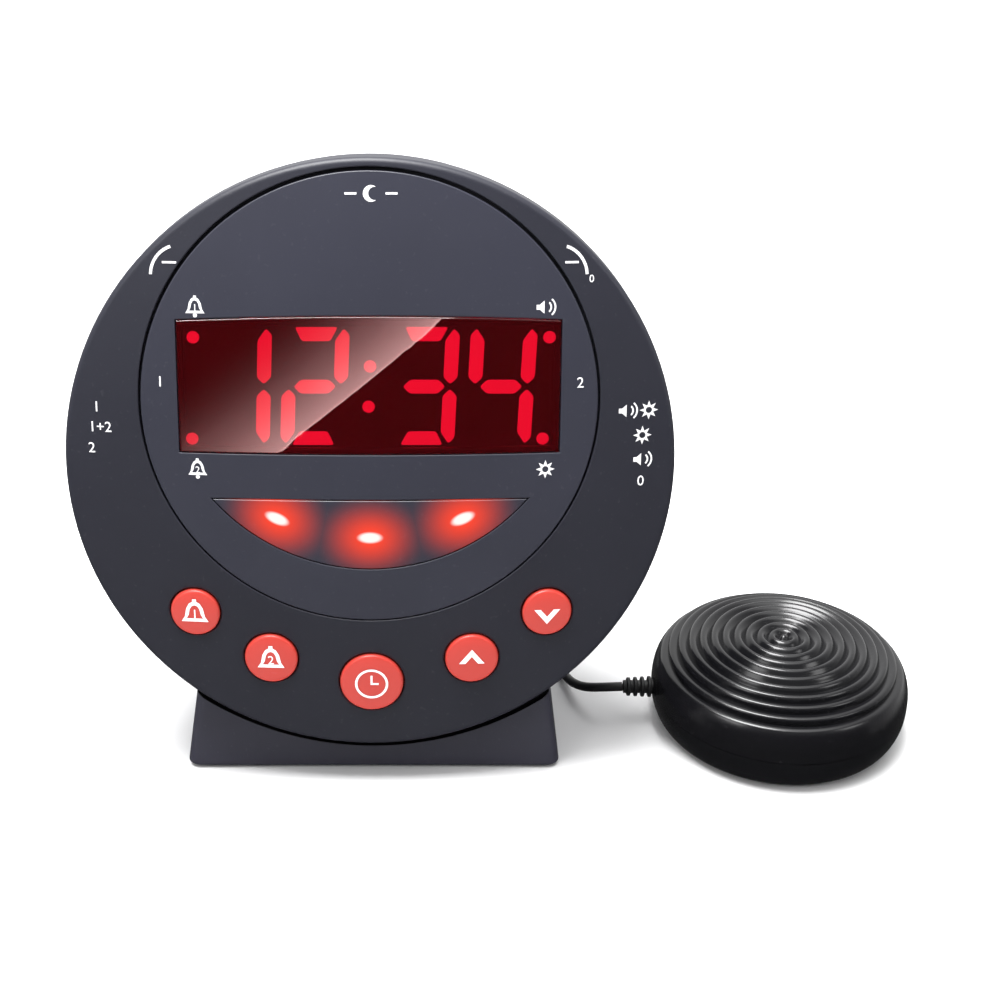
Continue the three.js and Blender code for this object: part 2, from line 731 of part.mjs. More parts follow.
function selectorSwitch(side, range) {
  const outer = bowlRadius(knobY()) - KNOB_STEM - GAP;
  const xs = [side * (outer - SELECTOR_THICK), side * outer].sort((a, b) => a - b);
  const middle = (range.up - range.down) / 2;
  const start = BOARD_BACK + GAP;
  const half = SELECTOR_HEIGHT / 2;
  return block(xs[0], xs[1], start, start + SELECTOR_DEPTH, middle - half, middle + half);
}

function grilleSlots() {
  const slots = [];
  for (let i = 0; i < GRILLE_SLOTS; i += 1) {
    const z = (i - (GRILLE_SLOTS - 1) / 2) * GRILLE_PITCH;
    const half = Math.sqrt(GRILLE_RADIUS ** 2 - z ** 2);
    const side = GRILLE_SLOT / 2;
    slots.push(block(-half, half, BOWL_DEPTH - 2 * WALL, BOWL_DEPTH + WALL, z - side, z + side));
  }
  return slots;
}

function rearHousing() {
  const lipOuter = RIM_INNER - GAP;
  const lipInner = lipOuter - LIP_THICK;
  const lipFront = BOWL_START - LIP_DEPTH;
  const inner = bowlCurve(-WALL).filter(([r]) => r < lipInner);
  let housing = turned([
    [0, BOWL_DEPTH],
    ...bowlCurve(0).reverse(),
    [lipOuter, BOWL_START],
    [lipOuter, lipFront],
    [lipInner, lipFront],
    [lipInner, BOWL_START],
    ...inner,
    [0, BOWL_DEPTH - WALL],
  ], BOWL_SIDES);
  for (const { x, z } of screwPlaces()) {
    housing = housing
      .add(rodY(BOSS_RADIUS, BOSS_START, BOWL_DEPTH, x, z, SMALL_SIDES).intersect(bowlSolid(0)))
      .subtract(rodY(WELL_RADIUS, SEAT_Y, THROUGH, x, z))
      .subtract(rodY(SCREW_RADIUS + GAP, 0, THROUGH, x, z, SMALL_SIDES));
  }
  const cuts = [
    snoozeBox(RUN),
    ...Object.values(WHEEL_ANGLES).map(wheelSlot),
    selectorSlot(-1, ALARM_THROW),
    selectorSlot(1, MODE_THROW),
    ...grilleSlots(),
  ];
  for (const cut of cuts) {
    housing = housing.subtract(cut);
  }
  return housing;
}

function housingScrew({ x, z }) {
  const start = SEAT_Y + GAP;
  const tip = BOARD_FRONT - BOSS_SEAT;
  return rodY(SCREW_HEAD_RADIUS, start, start + SCREW_HEAD, x, z)
    .add(rodY(SCREW_RADIUS, tip, start + SCREW_HEAD / 2, x, z, SMALL_SIDES));
}

function speakerFrame() {
  const front = BOWL_DEPTH - WALL - GAP;
  const back = front - SPEAKER_DEPTH;
  const seat = SPEAKER_RADIUS - SPEAKER_FLANGE;
  const waist = back + SPEAKER_DEPTH / 2;
  return turned([
    [0, back],
    [MAGNET_RADIUS, back],
    [MAGNET_RADIUS, waist],
    [SPEAKER_RADIUS - SPEAKER_PLATE, front - SPEAKER_PLATE],
    [SPEAKER_RADIUS, front - SPEAKER_PLATE],
    [SPEAKER_RADIUS, front],
    [seat, front],
    [seat, front - SPEAKER_PLATE],
    [MAGNET_RADIUS - SPEAKER_PLATE, waist + SPEAKER_PLATE],
    [0, waist + SPEAKER_PLATE],
  ], 2 * ROUND_SIDES);
}

// Paper cone with a dust cap, its rim just inside the frame's flange.
function speakerCone() {
  const front = BOWL_DEPTH - WALL - GAP;
  const rim = SPEAKER_RADIUS - SPEAKER_FLANGE - GAP;
  const throat = MAGNET_RADIUS / 2;
  const floor = front - SPEAKER_DEPTH / 2 + SPEAKER_PLATE + GAP;
  return turned([
    [0, floor + 2 * CONE_THICK],
    [throat, floor],
    [rim - CONE_THICK, front - CONE_THICK - SPEAKER_PLATE / 2],
    [rim, front - CONE_THICK],
    [rim - CONE_THICK, front],
    [throat, floor + 2 * CONE_THICK],
    [throat / 2, floor + 4 * CONE_THICK],
    [0, floor + 5 * CONE_THICK],
  ], 2 * ROUND_SIDES);
}

// Stand, in the clock's frame: the table at z = 0, the face's centre above the origin

const head = new THREE.Group();
head.position.z = FACE_HEIGHT;
head.rotation.x = -TILT;
head.updateMatrix();

// Moves a solid from the head's frame to the clock's.
function fromHead(body) {
  return solid(geometryOf(body).applyMatrix4(head.matrix));
}

// Rounded block that narrows upwards, its front parallel to the face and its back upright.
function standBlock(inset, bottom, top) {
  const half = STAND_WIDTH / 2 - inset;
  const front = STAND_FRONT + inset / Math.cos(TILT);
  const back = STAND_BACK - inset;
  const corner = STAND_CORNER;
  const shape = new THREE.Shape();
  shape.moveTo(-half + corner, front);
  shape.absarc(half - corner, front + corner, corner, -Math.PI / 2, 0, false);
  shape.absarc(half - corner, back - corner, corner, 0, Math.PI / 2, false);
  shape.absarc(corner - half, back - corner, corner, Math.PI / 2, Math.PI, false);
  shape.absarc(corner - half, front + corner, corner, Math.PI, 1.5 * Math.PI, false);
  const options = { depth: top - bottom, bevelEnabled: false, curveSegments: 4 };
  const geometry = new THREE.ExtrudeGeometry(shape, options);
  geometry.translate(0, 0, bottom);
  const points = geometry.getAttribute('position');
  for (let i = 0; i < points.count; i += 1) {
    const rise = points.getZ(i) - FOOT_PROUD;
    const lean = 1 - (rise * Math.tan(STAND_LEAN)) / half;
    const share = (back - points.getY(i)) / (back - front);
    points.setX(i, points.getX(i) * lean);
    points.setY(i, points.getY(i) + share * rise * Math.tan(TILT));
  }
  return solid(geometry);
}

function stand() {
  const hull = standBlock(0, FOOT_PROUD, STAND_TOP);
  const roof = fromHead(bowlSolid(GAP + WALL, 0));
  const cavity = standBlock(WALL, FOOT_PROUD - WALL, STAND_TOP - WALL).subtract(roof);
  let body = hull.subtract(cavity);
  const studX = STAND_WIDTH / 2 - STUD_INSET;
  for (const side of [-1, 1]) {
    for (const y of [STAND_FRONT + WALL + STUD_INSET, STAND_BACK - STUD_INSET]) {
      body = body.add(rodZ(STUD_RADIUS, PLATE_TOP + GAP, STAND_TOP, side * studX, y).intersect(hull));
    }
  }
  body = body.subtract(fromHead(bowlSolid(GAP, 0)));
  for (const x of [SUPPLY_JACK_X, SHAKER_JACK_X]) {
    body = body.subtract(rodY(JACK_NOSE + GAP, STAND_BACK - 2 * WALL, STAND_BACK + WALL, x, JACK_Z));
  }
  return body.subtract(doorBlock(GAP, STAND_BACK + WALL));
}

// Battery door with a rail along each side; the clearance makes the groove that it slides in.
function doorBlock(clearance, back) {
  const half = CELL_RADIUS + GAP + DOOR_LAP;
  const front = BAY_FRONT - DOOR_LAP;
  const slab = block(BAY_X - half - clearance, BAY_X + half + clearance, front - clearance, back,
    FOOT_PROUD - clearance, DOOR_TOP + clearance);
  const rail = half + DOOR_RAIL + clearance;
  const railLow = DOOR_TOP - DOOR_RAIL - clearance;
  return slab.add(block(BAY_X - rail, BAY_X + rail, front - clearance, back, railLow, DOOR_TOP + clearance));
}

function batteryDoor() {
  let door = doorBlock(0, STAND_BACK);
  for (let i = 1; i <= DOOR_GRIP_RIBS; i += 1) {
    const y = STAND_BACK - 2 * i * DOOR_RAIL;
    door = door.subtract(block(BAY_X - CELL_RADIUS, BAY_X + CELL_RADIUS, y, y + DOOR_RAIL,
      0, FOOT_PROUD + DOOR_RAIL / 2));
  }
  return door;
}

function footPlaces() {
  const front = STAND_FRONT + FOOT_INSET;
  const back = STAND_BACK - FOOT_INSET;
  return [[-FOOT_X, front], [FOOT_X, front], [-FOOT_X, back], [FOOT_X, back]];
}

function basePlate() {
  const reach = CELL_RADIUS + GAP;
  const outer = reach + BAY_WALL;
  const bayTop = DOOR_TOP + GAP + CELL_THICK + 2 * GAP;
  let plate = standBlock(WALL + GAP, FOOT_PROUD, PLATE_TOP)
    .add(block(BAY_X - outer, BAY_X + outer, BAY_FRONT - BAY_WALL, BAY_BACK + BAY_WALL,
      FOOT_PROUD, bayTop + BAY_WALL))
    .subtract(block(BAY_X - reach, BAY_X + reach, BAY_FRONT, BAY_BACK, 0, bayTop))
    .subtract(doorBlock(GAP, STAND_BACK))
    .subtract(fromHead(bowlSolid(GAP + WALL + GAP, 0)));
  for (const [x, y] of footPlaces()) {
    plate = plate.subtract(rodZ(FOOT_RADIUS + GAP, 0, FOOT_PROUD + FOOT_SUNK, x, y));
  }
  return plate;
}

function foot([x, y]) {
  return rodZ(FOOT_RADIUS, 0, FOOT_PROUD + FOOT_SUNK - GAP, x, y);
}

function backupCell() {
  const low = DOOR_TOP + 2 * GAP;
  return rodZ(CELL_RADIUS, low, low + CELL_THICK, BAY_X, (BAY_FRONT + BAY_BACK) / 2, 2 * ROUND_SIDES);
}

// Jack body behind the stand's back wall, its nose in the wall.
function jack(x) {
  const side = JACK_SIDE / 2;
  const seat = STAND_BACK - WALL - GAP;
  return block(x - side, x + side, seat - JACK_DEPTH, seat, JACK_Z - side, JACK_Z + side)
    .add(rodY(JACK_NOSE, seat - WALL, STAND_BACK, x, JACK_Z))
    .subtract(rodY(JACK_BORE, STAND_BACK - JACK_REACH, STAND_BACK + WALL, x, JACK_Z));
}

function supplyJack() {
  const root = STAND_BACK - JACK_REACH - WALL;
  return jack(SUPPLY_JACK_X)
    .add(rodY(JACK_PIN, root, STAND_BACK - WALL, SUPPLY_JACK_X, JACK_Z, SMALL_SIDES));
}

// Bed shaker, in its own frame: centre at the origin, standing on z = 0

// Full-shouldered dome, from its top down to the seam.
class CrownPath extends THREE.Curve {
  constructor(inset) {
    super();
    this.radius = SHAKER_RADIUS - inset;
    this.rise = SHAKER_HEIGHT - SHAKER_SEAM - inset;
  }

  getPoint(share) {
    const angle = (Math.PI / 2) * share;
    const power = 2 / SHAKER_FULLNESS;
    const radius = this.radius * Math.sin(angle) ** power;
    const rise = this.rise * Math.max(0, Math.cos(angle)) ** power;
    return new THREE.Vector2(radius, SHAKER_SEAM + rise);
  }
}

// Ridged crown: rings stand along the dome's normal, and below the last one the side is smooth.
function crownCurve() {
  const dome = new CrownPath(RIDGE_RISE);
  const lifted = (share, lift) => {
    const point = dome.getPointAt(share);
    const tangent = dome.getTangentAt(share);
    return [point.x - lift * tangent.y, point.y + lift * tangent.x];
  };
  const count = RIDGES * RIDGE_STEPS;
  const points = [[0, SHAKER_HEIGHT]];
  for (let i = 1; i <= count; i += 1) {
    const wave = 0.5 + 0.5 * Math.cos((2 * Math.PI * i) / RIDGE_STEPS);
    points.push(lifted((RIDGE_SHARE * i) / count, RIDGE_RISE * wave));
  }
  for (let i = 1; i < SHAKER_STEPS; i += 1) {
    points.push(lifted(RIDGE_SHARE + ((1 - RIDGE_SHARE) * i) / SHAKER_STEPS, RIDGE_RISE));
  }
  return points;
}

// Quarter ellipse between the flat underside and the seam.
function shakerCurve(inset, from, to) {
  const radius = SHAKER_RADIUS - SHAKER_FLAT - inset;
  const rise = SHAKER_SEAM - inset;
  const curve = new THREE.EllipseCurve(SHAKER_FLAT, SHAKER_SEAM, radius, rise, from, to, from > to);
  return curve.getPoints(SHAKER_STEPS).map((point) => [point.x, point.y]);
}

function reliefHole() {
  return rodX(RELIEF_NECK + GAP, -SHAKER_RADIUS - WALL, 2 * SHAKER_WALL - SHAKER_RADIUS, 0, SHAKER_SEAM);
}

function shakerTop() {
  const low = SHAKER_SEAM + GAP;
  const inner = new CrownPath(RIDGE_RISE + SHAKER_WALL);
  const ceiling = inner.getSpacedPoints(SHAKER_STEPS).reverse().filter((point) => point.y > low);
  return turnedUp([
    ...crownCurve(),
    [SHAKER_RADIUS, low],
    [inner.radius, low],
    ...ceiling.map((point) => [point.x, point.y]),
  ], SHAKER_SIDES).subtract(reliefHole());
}

function shakerBottom() {
  const outer = shakerCurve(0, -Math.PI / 2, 0);
  const inner = shakerCurve(SHAKER_WALL, 0, -Math.PI / 2);
  return turnedUp([[0, 0], ...outer, ...inner, [0, SHAKER_WALL]], SHAKER_SIDES).subtract(reliefHole());
}

function shakerMotor() {
  const front = MOTOR_X + MOTOR_LENGTH;
  return rodX(MOTOR_RADIUS, MOTOR_X, front, 0, MOTOR_Z, 2 * ROUND_SIDES)
    .subtract(rodX(SHAFT_RADIUS + GAP, front - SHAFT_REACH / 2, front + WALL, 0, MOTOR_Z, SMALL_SIDES));
}

function motorShaft() {
  const front = MOTOR_X + MOTOR_LENGTH;
  return rodX(SHAFT_RADIUS, front - SHAFT_REACH / 2 + GAP, front + SHAFT_REACH, 0, MOTOR_Z, SMALL_SIDES);
}

// Half-round weight on a hub, hanging below the shaft.
function eccentricWeight() {
  const start = MOTOR_X + MOTOR_LENGTH + WEIGHT_SETBACK;
  const end = start + WEIGHT_THICK;
  return rodX(WEIGHT_RADIUS, start, end, 0, MOTOR_Z, 2 * ROUND_SIDES)
    .subtract(block(start - WALL, end + WALL, -WEIGHT_RADIUS, WEIGHT_RADIUS, MOTOR_Z, SHAKER_HEIGHT))
    .add(rodX(SHAFT_RADIUS + WALL, start, end, 0, MOTOR_Z))
    .subtract(rodX(SHAFT_RADIUS + GAP, start - WALL, end + WALL, 0, MOTOR_Z, SMALL_SIDES));
}

// Cradle on the shaker's floor, hollowed to the motor.
function motorCradle() {
  const middle = MOTOR_X + MOTOR_LENGTH / 2;
  const half = CRADLE_LENGTH / 2;
  return block(middle - half, middle + half, -CRADLE_HALF, CRADLE_HALF, SHAKER_WALL + GAP, MOTOR_Z)
    .subtract(rodX(MOTOR_RADIUS + GAP, middle - 2 * half, middle + 2 * half, 0, MOTOR_Z, 2 * ROUND_SIDES));
}

// Ribbed strain relief, turned about the cord's axis.
function strainRelief() {
  const fin = RELIEF_LENGTH / (2 * RELIEF_FINS);
  const profile = [[0, -SHAKER_WALL], [RELIEF_NECK, -SHAKER_WALL], [RELIEF_NECK, GAP]];
  for (let i = 0; i < RELIEF_FINS; i += 1) {
    const start = GAP + 2 * i * fin;
    profile.push([RELIEF_RADIUS, start], [RELIEF_RADIUS, start + fin]);
    profile.push([RELIEF_NECK, start + fin], [RELIEF_NECK, start + 2 * fin]);
  }
  profile.push([0, GAP + RELIEF_LENGTH]);
  const lathe = new THREE.LatheGeometry(profile.map(([r, y]) => new THREE.Vector2(r, y)), SMALL_SIDES);
  return solid(lathe.rotateZ(Math.PI / 2).translate(-SHAKER_RADIUS, 0, SHAKER_SEAM));
}

// Cord between the two

function shakerPlug() {
  const seat = STAND_BACK + GAP;
  const end = seat + PLUG_LENGTH;
  const tail = CORD_DIAMETER / 2 + PLUG_SLEEVE;
  const lathe = new THREE.LatheGeometry([
    [0, STAND_BACK - JACK_REACH + GAP],
    [PLUG_PIN, STAND_BACK - JACK_REACH + GAP],
    [PLUG_PIN, seat],
    [PLUG_RADIUS, seat],
    [PLUG_RADIUS, end],
    [2 * tail - CORD_DIAMETER / 2, end],
    [tail, end + PLUG_TAIL],
    [0, end + PLUG_TAIL],
  ].map(([r, y]) => new THREE.Vector2(r, y)), ROUND_SIDES);
  return solid(lathe.translate(SHAKER_JACK_X, 0, JACK_Z));
}

// Tube along a curve.
function tube(curve, steps, sides) {
  const section = new THREE.Shape();
  for (let i = 0; i < sides; i += 1) {
    const turn = (2 * Math.PI * i) / sides;
    const corner = [0.5 * CORD_DIAMETER * Math.cos(turn), 0.5 * CORD_DIAMETER * Math.sin(turn)];
    if (i === 0) {
      section.moveTo(...corner);
    } else {
      section.lineTo(...corner);
    }
  }
  section.closePath();
  return solid(new THREE.ExtrudeGeometry(section, { steps, extrudePath: curve, bevelEnabled: false }));
}

// Free stretch of cord through points chosen by hand.
function lead(points) {
  const curve = new THREE.CatmullRomCurve3(points.map(([x, y, z]) => new THREE.Vector3(x, y, z)));
  const steps = Math.ceil(curve.getLength() / (LEAD_STEP * CORD_DIAMETER));
  return tube(curve, steps, LEAD_SIDES);
}

// Coil wound inwards and outwards by turns, one layer above the other, with straight ends.
class CoilPath extends THREE.Curve {
  getUtoTmapping(share) {
    return share;
  }

  // Point on the winding after a number of turns.
  winding(turns) {
    const stage = LAYER_TURNS + CLIMB_TURNS;
    const layer = Math.min(Math.floor(turns / stage), COIL_LAYERS - 1);
    const within = turns - layer * stage;
    const wound = Math.min(within, LAYER_TURNS) * TURN_PITCH;
    const climb = THREE.MathUtils.smoothstep(within, LAYER_TURNS, stage);
    const radius = layer % 2 === 0 ? COIL_OUTER - wound : COIL_INNER + wound;
    const angle = 2 * Math.PI * turns;
    return new THREE.Vector3(
      COIL_X + radius * Math.cos(angle),
      COIL_Y + radius * Math.sin(angle),
      COIL_LOW + LAYER_PITCH * (layer + climb),
    );
  }

  getPoint(share) {
    const end = CORD_DIAMETER / (2 * Math.PI * COIL_OUTER);
    const turns = -end + share * (COIL_TURNS + 2 * end);
    const nearest = THREE.MathUtils.clamp(turns, 0, COIL_TURNS);
    const angle = 2 * Math.PI * nearest;
    const along = new THREE.Vector3(-Math.sin(angle), Math.cos(angle), 0);
    return this.winding(nearest).addScaledVector(along, 2 * Math.PI * COIL_OUTER * (turns - nearest));
  }
}

// Least gap between the coil's turns, measured on points along its middle.
function coilGap(path) {
  const count = Math.round(COIL_TURNS * GAP_POINTS);
  const apart = Math.round(GAP_POINTS / 2);
  const points = path.getPoints(count);
  let least = Infinity;
  for (let i = 0; i < count; i += 1) {
    for (let j = i + apart; j <= count; j += 1) {
      least = Math.min(least, points[i].distanceTo(points[j]));
    }
  }
  return least - CORD_DIAMETER;
}

// Strap round the coil's turns on the side nearest the clock.
function cordTie() {
  const near = COIL_OUTER + CORD_DIAMETER / 2 + GAP;
  const far = Math.sqrt(COIL_INNER ** 2 - (TIE_WIDTH / 2) ** 2) - CORD_DIAMETER / 2 - GAP;
  const top = COIL_LOW + (COIL_LAYERS - 1) * LAYER_PITCH + CORD_DIAMETER / 2 + GAP;
  const half = TIE_WIDTH / 2;
  const outside = block(COIL_X - half, COIL_X + half, COIL_Y - near - TIE_THICK, COIL_Y - far + TIE_THICK,
    0, top + TIE_THICK);
  const inside = block(COIL_X - half - GAP, COIL_X + half + GAP, COIL_Y - near, COIL_Y - far, TIE_THICK, top);
  return outside.subtract(inside);
}

// Assembly

const CASE = 0x3b3a44;
const PANEL = 0x46454f;
const BUTTON_RED = 0xe9504e;
const FILTER_RED = 0x3a0c08;
const LAMP_RED = 0xff2a2e;
const BLACK = 0x17171a;
const RUBBER = 0x1d1d1f;
const BOARD_GREEN = 0x1f5a3a;
const STEEL = 0xb9bcc0;
const BRASS = 0xc0a060;

function addHead(clock) {
  clock.add(head);
  place(head, 'front_housing', frontHousing(), CASE, 0.5);
  place(head, 'face_panel', facePanel(), PANEL, 0.45);
  place(head, 'display_window', pane(windowShape), FILTER_RED, 0.1);
  place(head, 'flash_lens', pane(lensShape), PANEL, 0.2);
  place(head, 'rear_housing', rearHousing(), CASE, 0.5);
  place(head, 'main_board', mainBoard(), BOARD_GREEN, 0.5);
  place(head, 'display_module', displayModule(), LAMP_RED, 0.4);
  const lamps = [
    ['flash_lamp_left', -FLASH_SIDE, FLASH_SIDE_DROP, -FLASH_LEAN],
    ['flash_lamp_middle', 0, FLASH_MIDDLE_DROP, 0],
    ['flash_lamp_right', FLASH_SIDE, FLASH_SIDE_DROP, FLASH_LEAN],
  ];
  for (const [name, x, drop, lean] of lamps) {
    place(head, name, flashLamp(x, PANEL_UP + LENS_TOP - drop, lean), LAMP_RED, 0.3);
  }
  for (const button of BUTTONS) {
    const { x, z } = buttonPlace(button);
    place(head, button.name, pushButton(button), BUTTON_RED, 0.45);
    place(head, button.name.replace('button', 'switch'), tactSwitch(x, z), BLACK, 0.5);
  }
  place(head, 'snooze_bar', snoozeBar(), CASE, 0.5);
  place(head, 'snooze_switch', snoozeSwitch(), BLACK, 0.5);
  for (const [name, angle] of Object.entries(WHEEL_ANGLES)) {
    place(head, name, thumbwheel(angle), BLACK, 0.5);
    place(head, name.replace('wheel', 'control'), wheelPot(angle), STEEL, 0.4, 0.8);
  }
  place(head, 'alarm_selector', selectorKnob(-1), BLACK, 0.5);
  place(head, 'alarm_selector_switch', selectorSwitch(-1, ALARM_THROW), STEEL, 0.4, 0.8);
  place(head, 'mode_selector', selectorKnob(1), BLACK, 0.5);
  place(head, 'mode_selector_switch', selectorSwitch(1, MODE_THROW), STEEL, 0.4, 0.8);
  place(head, 'speaker_frame', speakerFrame(), STEEL, 0.4, 0.8);
  place(head, 'speaker_cone', speakerCone(), BLACK, 0.8);
  screwPlaces().forEach((spot, i) => {
    place(head, `housing_screw_${i + 1}`, housingScrew(spot), STEEL, 0.35, 0.9);
  });
}

function addStand(clock) {
  place(clock, 'stand', stand(), CASE, 0.5);
  place(clock, 'base_plate', basePlate(), CASE, 0.55);
  place(clock, 'battery_door', batteryDoor(), CASE, 0.55);
  place(clock, 'backup_cell', backupCell(), STEEL, 0.3, 0.9);
  place(clock, 'supply_jack', supplyJack(), BLACK, 0.5);
  place(clock, 'shaker_jack', jack(SHAKER_JACK_X), BLACK, 0.5);
  footPlaces().forEach((spot, i) => {
    place(clock, `foot_${i + 1}`, foot(spot), RUBBER, 0.9);
  });
}

function addShaker(shaker) {
  place(shaker, 'shaker_top', shakerTop(), RUBBER, 0.4);
  place(shaker, 'shaker_bottom', shakerBottom(), RUBBER, 0.45);
  place(shaker, 'shaker_motor', shakerMotor(), STEEL, 0.3, 0.9);
  place(shaker, 'motor_cradle', motorCradle(), BLACK, 0.6);
  place(shaker, 'motor_shaft', motorShaft(), STEEL, 0.25, 1);
  place(shaker, 'eccentric_weight', eccentricWeight(), BRASS, 0.35, 1);
  place(shaker, 'shaker_strain_relief', strainRelief(), RUBBER, 0.6);
}

function addCord(cord) {
  const path = new CoilPath();
  const gap = coilGap(path);
  console.log(`least gap between the coil's turns: ${gap.toFixed(2)} mm`);
  place(cord, 'shaker_plug', shakerPlug(), BLACK, 0.5);
  place(cord, 'cord_clock_lead', lead(CLOCK_LEAD), RUBBER, 0.55);
  place(cord, 'cord_coil', tube(path, Math.round(COIL_TURNS * STEPS_PER_TURN), COIL_SIDES), RUBBER, 0.55);
  place(cord, 'cord_shaker_lead', lead(SHAKER_LEAD), RUBBER, 0.55);
  place(cord, 'cord_tie', cordTie(), BLACK, 0.7);
}

const clock = new THREE.Group();
addHead(clock);
addStand(clock);

const shaker = new THREE.Group();
shaker.position.set(SHAKER_X, SHAKER_Y, 0);
addShaker(shaker);

const cord = new THREE.Group();
addCord(cord);

// The set stands on z = 0 with the middle of the clock and shaker at the origin.
const reach = new THREE.Box3().setFromObject(clock, true).union(new THREE.Box3().setFromObject(shaker, true));
const middle = reach.getCenter(new THREE.Vector3());
const alarmClock = new THREE.Group();
alarmClock.add(clock, shaker, cord);
alarmClock.position.set(-middle.x, -middle.y, -reach.min.z);

export default alarmClock;
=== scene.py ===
"""Models and finishes a vibrating alarm clock: a round clock on a stand and a corded bed shaker."""

import math

import bmesh
import bpy
from mathutils import Matrix, Vector


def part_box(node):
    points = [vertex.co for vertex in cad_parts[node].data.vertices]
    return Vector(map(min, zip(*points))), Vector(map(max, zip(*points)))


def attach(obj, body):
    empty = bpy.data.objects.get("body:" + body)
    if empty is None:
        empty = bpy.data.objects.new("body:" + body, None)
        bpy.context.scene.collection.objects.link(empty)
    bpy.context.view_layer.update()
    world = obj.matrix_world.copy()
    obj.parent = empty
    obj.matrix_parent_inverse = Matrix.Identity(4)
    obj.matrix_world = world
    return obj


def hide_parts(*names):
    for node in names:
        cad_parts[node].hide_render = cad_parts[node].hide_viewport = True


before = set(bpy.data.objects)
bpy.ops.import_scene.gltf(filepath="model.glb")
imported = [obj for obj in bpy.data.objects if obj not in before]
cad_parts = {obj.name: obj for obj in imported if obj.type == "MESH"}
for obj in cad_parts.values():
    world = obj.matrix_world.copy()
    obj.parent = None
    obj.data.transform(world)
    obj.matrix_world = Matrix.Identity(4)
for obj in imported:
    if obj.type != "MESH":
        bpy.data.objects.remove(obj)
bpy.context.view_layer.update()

bl_info = {
    "name": "Vibrating alarm clock",
    "version": (1, 0, 0),
    "blender": (4, 5, 0),
    "location": "View3D > Sidebar > Clock",
    "description": "Models and finishes a round alarm clock with a corded bed shaker",
    "category": "Object",
}

# Places and sizes that follow the CAD model, in metres
FACE_X, FACE_Y = -0.0349055, -0.0187857
BAR_HALF, BAR_FRONT, BAR_BACK = 0.026, 0.0123, 0.0283
WHEEL_RADIUS, WHEEL_FRONT, WHEEL_BACK = 0.009, 0.0162, 0.0202
KNOB_HALF, KNOB_FRONT, KNOB_BACK = 0.0025, 0.0123, 0.0163
SCREW_RING, SCREW_SEAT = 0.064, 0.0152

# Gap between fixed mouldings, and play round the moving ones
GAP, PLAY = 0.0003, 0.00035

# Step in the stand round the rim, coloured near black inside as painted shade
CRADLE_RADIUS, CRADLE_DEPTH = 0.0793, 0.0101

# Thickness of a printed mark, and the depth of its back
PRINT, PRINT_DEPTH = 0.00004, -0.00002

# Steps round a large turned shape, a small one and a corner, and the grid of a bent face
TURN_STEPS, SMALL_STEPS, ROUND_STEPS = 144, 48, 4
FLAT_STEP = 0.006

# Distances that count as level and as one point, and the angle of a hard edge
LEVEL, MERGE = 1e-6, 2e-6
SHARP = math.radians(32)

# Push buttons: name, x and z on the face, radius
BUTTONS = (
    ("alarm1_button", -0.0440597, -0.0371013, 0.0062),
    ("alarm2_button", -0.0253283, -0.0494959, 0.0067),
    ("time_button", 0.0, -0.0561, 0.008),
    ("up_button", 0.0253283, -0.0494959, 0.0067),
    ("down_button", 0.0440597, -0.0371013, 0.0062),
)

# Lit bars of the four digits, by the usual letters a to g
DIGITS = ((-0.0318, "bc"), (-0.0132, "abged"), (0.0132, "abgcd"), (0.0318, "fgbc"))

# Flash lamps behind the lens, also the centres of the painted glow on it: x, z, lean
FLASHES = ((-0.0227, -0.0115, -0.42), (0.0, -0.0163, 0.0), (0.0227, -0.0115, 0.42))

# Painted halo and core of each lamp's glow on the lens: how much wider than high, where its light
# ends, where it is full
PAINTED_GLOW_SPOTS = ((1.25, 0.013, 0.0), (2.1, 0.0017, 0.0009))

# Angles round the rear housing, in degrees
SCREW_ANGLES = (58, 122, 198, 342)
WHEEL_ANGLES = (("brightness_wheel", 137), ("volume_wheel", 43))

# Slide selectors: name, side, travel down and up
SELECTORS = (("alarm_selector", -1, 0.003, 0.003), ("mode_selector", 1, 0.006, 0.003))

# Routes of the cord's free stretches, in millimetres from the point under the face
SHAKER_LEAD = (
    (67.8, 13.6, 10), (65.2, 13.6, 9.9), (62, 14.4, 9.2), (58.7, 17, 7.4), (56.2, 21.6, 5),
    (54.4, 27, 3), (53, 33.5, 1.7), (52.3, 40, 1.3), (52.1, 46, 1.27), (52.5, 53, 1.27),
    (53.6, 60, 1.27), (55.8, 68, 1.3), (58.4, 75, 1.5), (60.6, 82, 2), (61.5, 86.6, 2.3),
)
CLOCK_LEAD = (
    (31, 113.4, 11.5), (26, 112.8, 10.6), (18, 111.2, 9.2), (9, 108.6, 8), (0, 105.4, 7.4),
    (-7.5, 101.4, 7.8), (-13.2, 97.2, 9.2), (-17.2, 92.8, 11.3), (-19.4, 89.4, 13),
    (-20, 86.8, 13.9), (-20, 84.6, 14),
)

# Printed shapes, drawn on a square of two units
BELL = (
    (-1, -0.7), (1, -0.7), (0.75, -0.3), (0.62, 0.35), (0.4, 0.75), (0.15, 0.9), (0.15, 1.1),
    (-0.15, 1.1), (-0.15, 0.9), (-0.4, 0.75), (-0.62, 0.35), (-0.75, -0.3),
)
BELL_INSIDE = (
    (-0.62, -0.45), (-0.45, -0.15), (-0.36, 0.3), (-0.2, 0.55), (0, 0.62), (0.2, 0.55),
    (0.36, 0.3), (0.45, -0.15), (0.62, -0.45),
)
HORN = ((-1, -0.32), (-0.55, -0.32), (0.05, -0.85), (0.05, 0.85), (-0.55, 0.32), (-1, 0.32))
HANDS = ((-0.25, -0.25), (1.8, -0.25), (1.8, 0.25), (0.25, 0.25), (0.25, 2.4), (-0.25, 2.4))
ARROW_UP = ((-0.9, -0.3), (-0.45, -0.3), (0, 0.25), (0.45, -0.3), (0.9, -0.3), (0, 0.8))

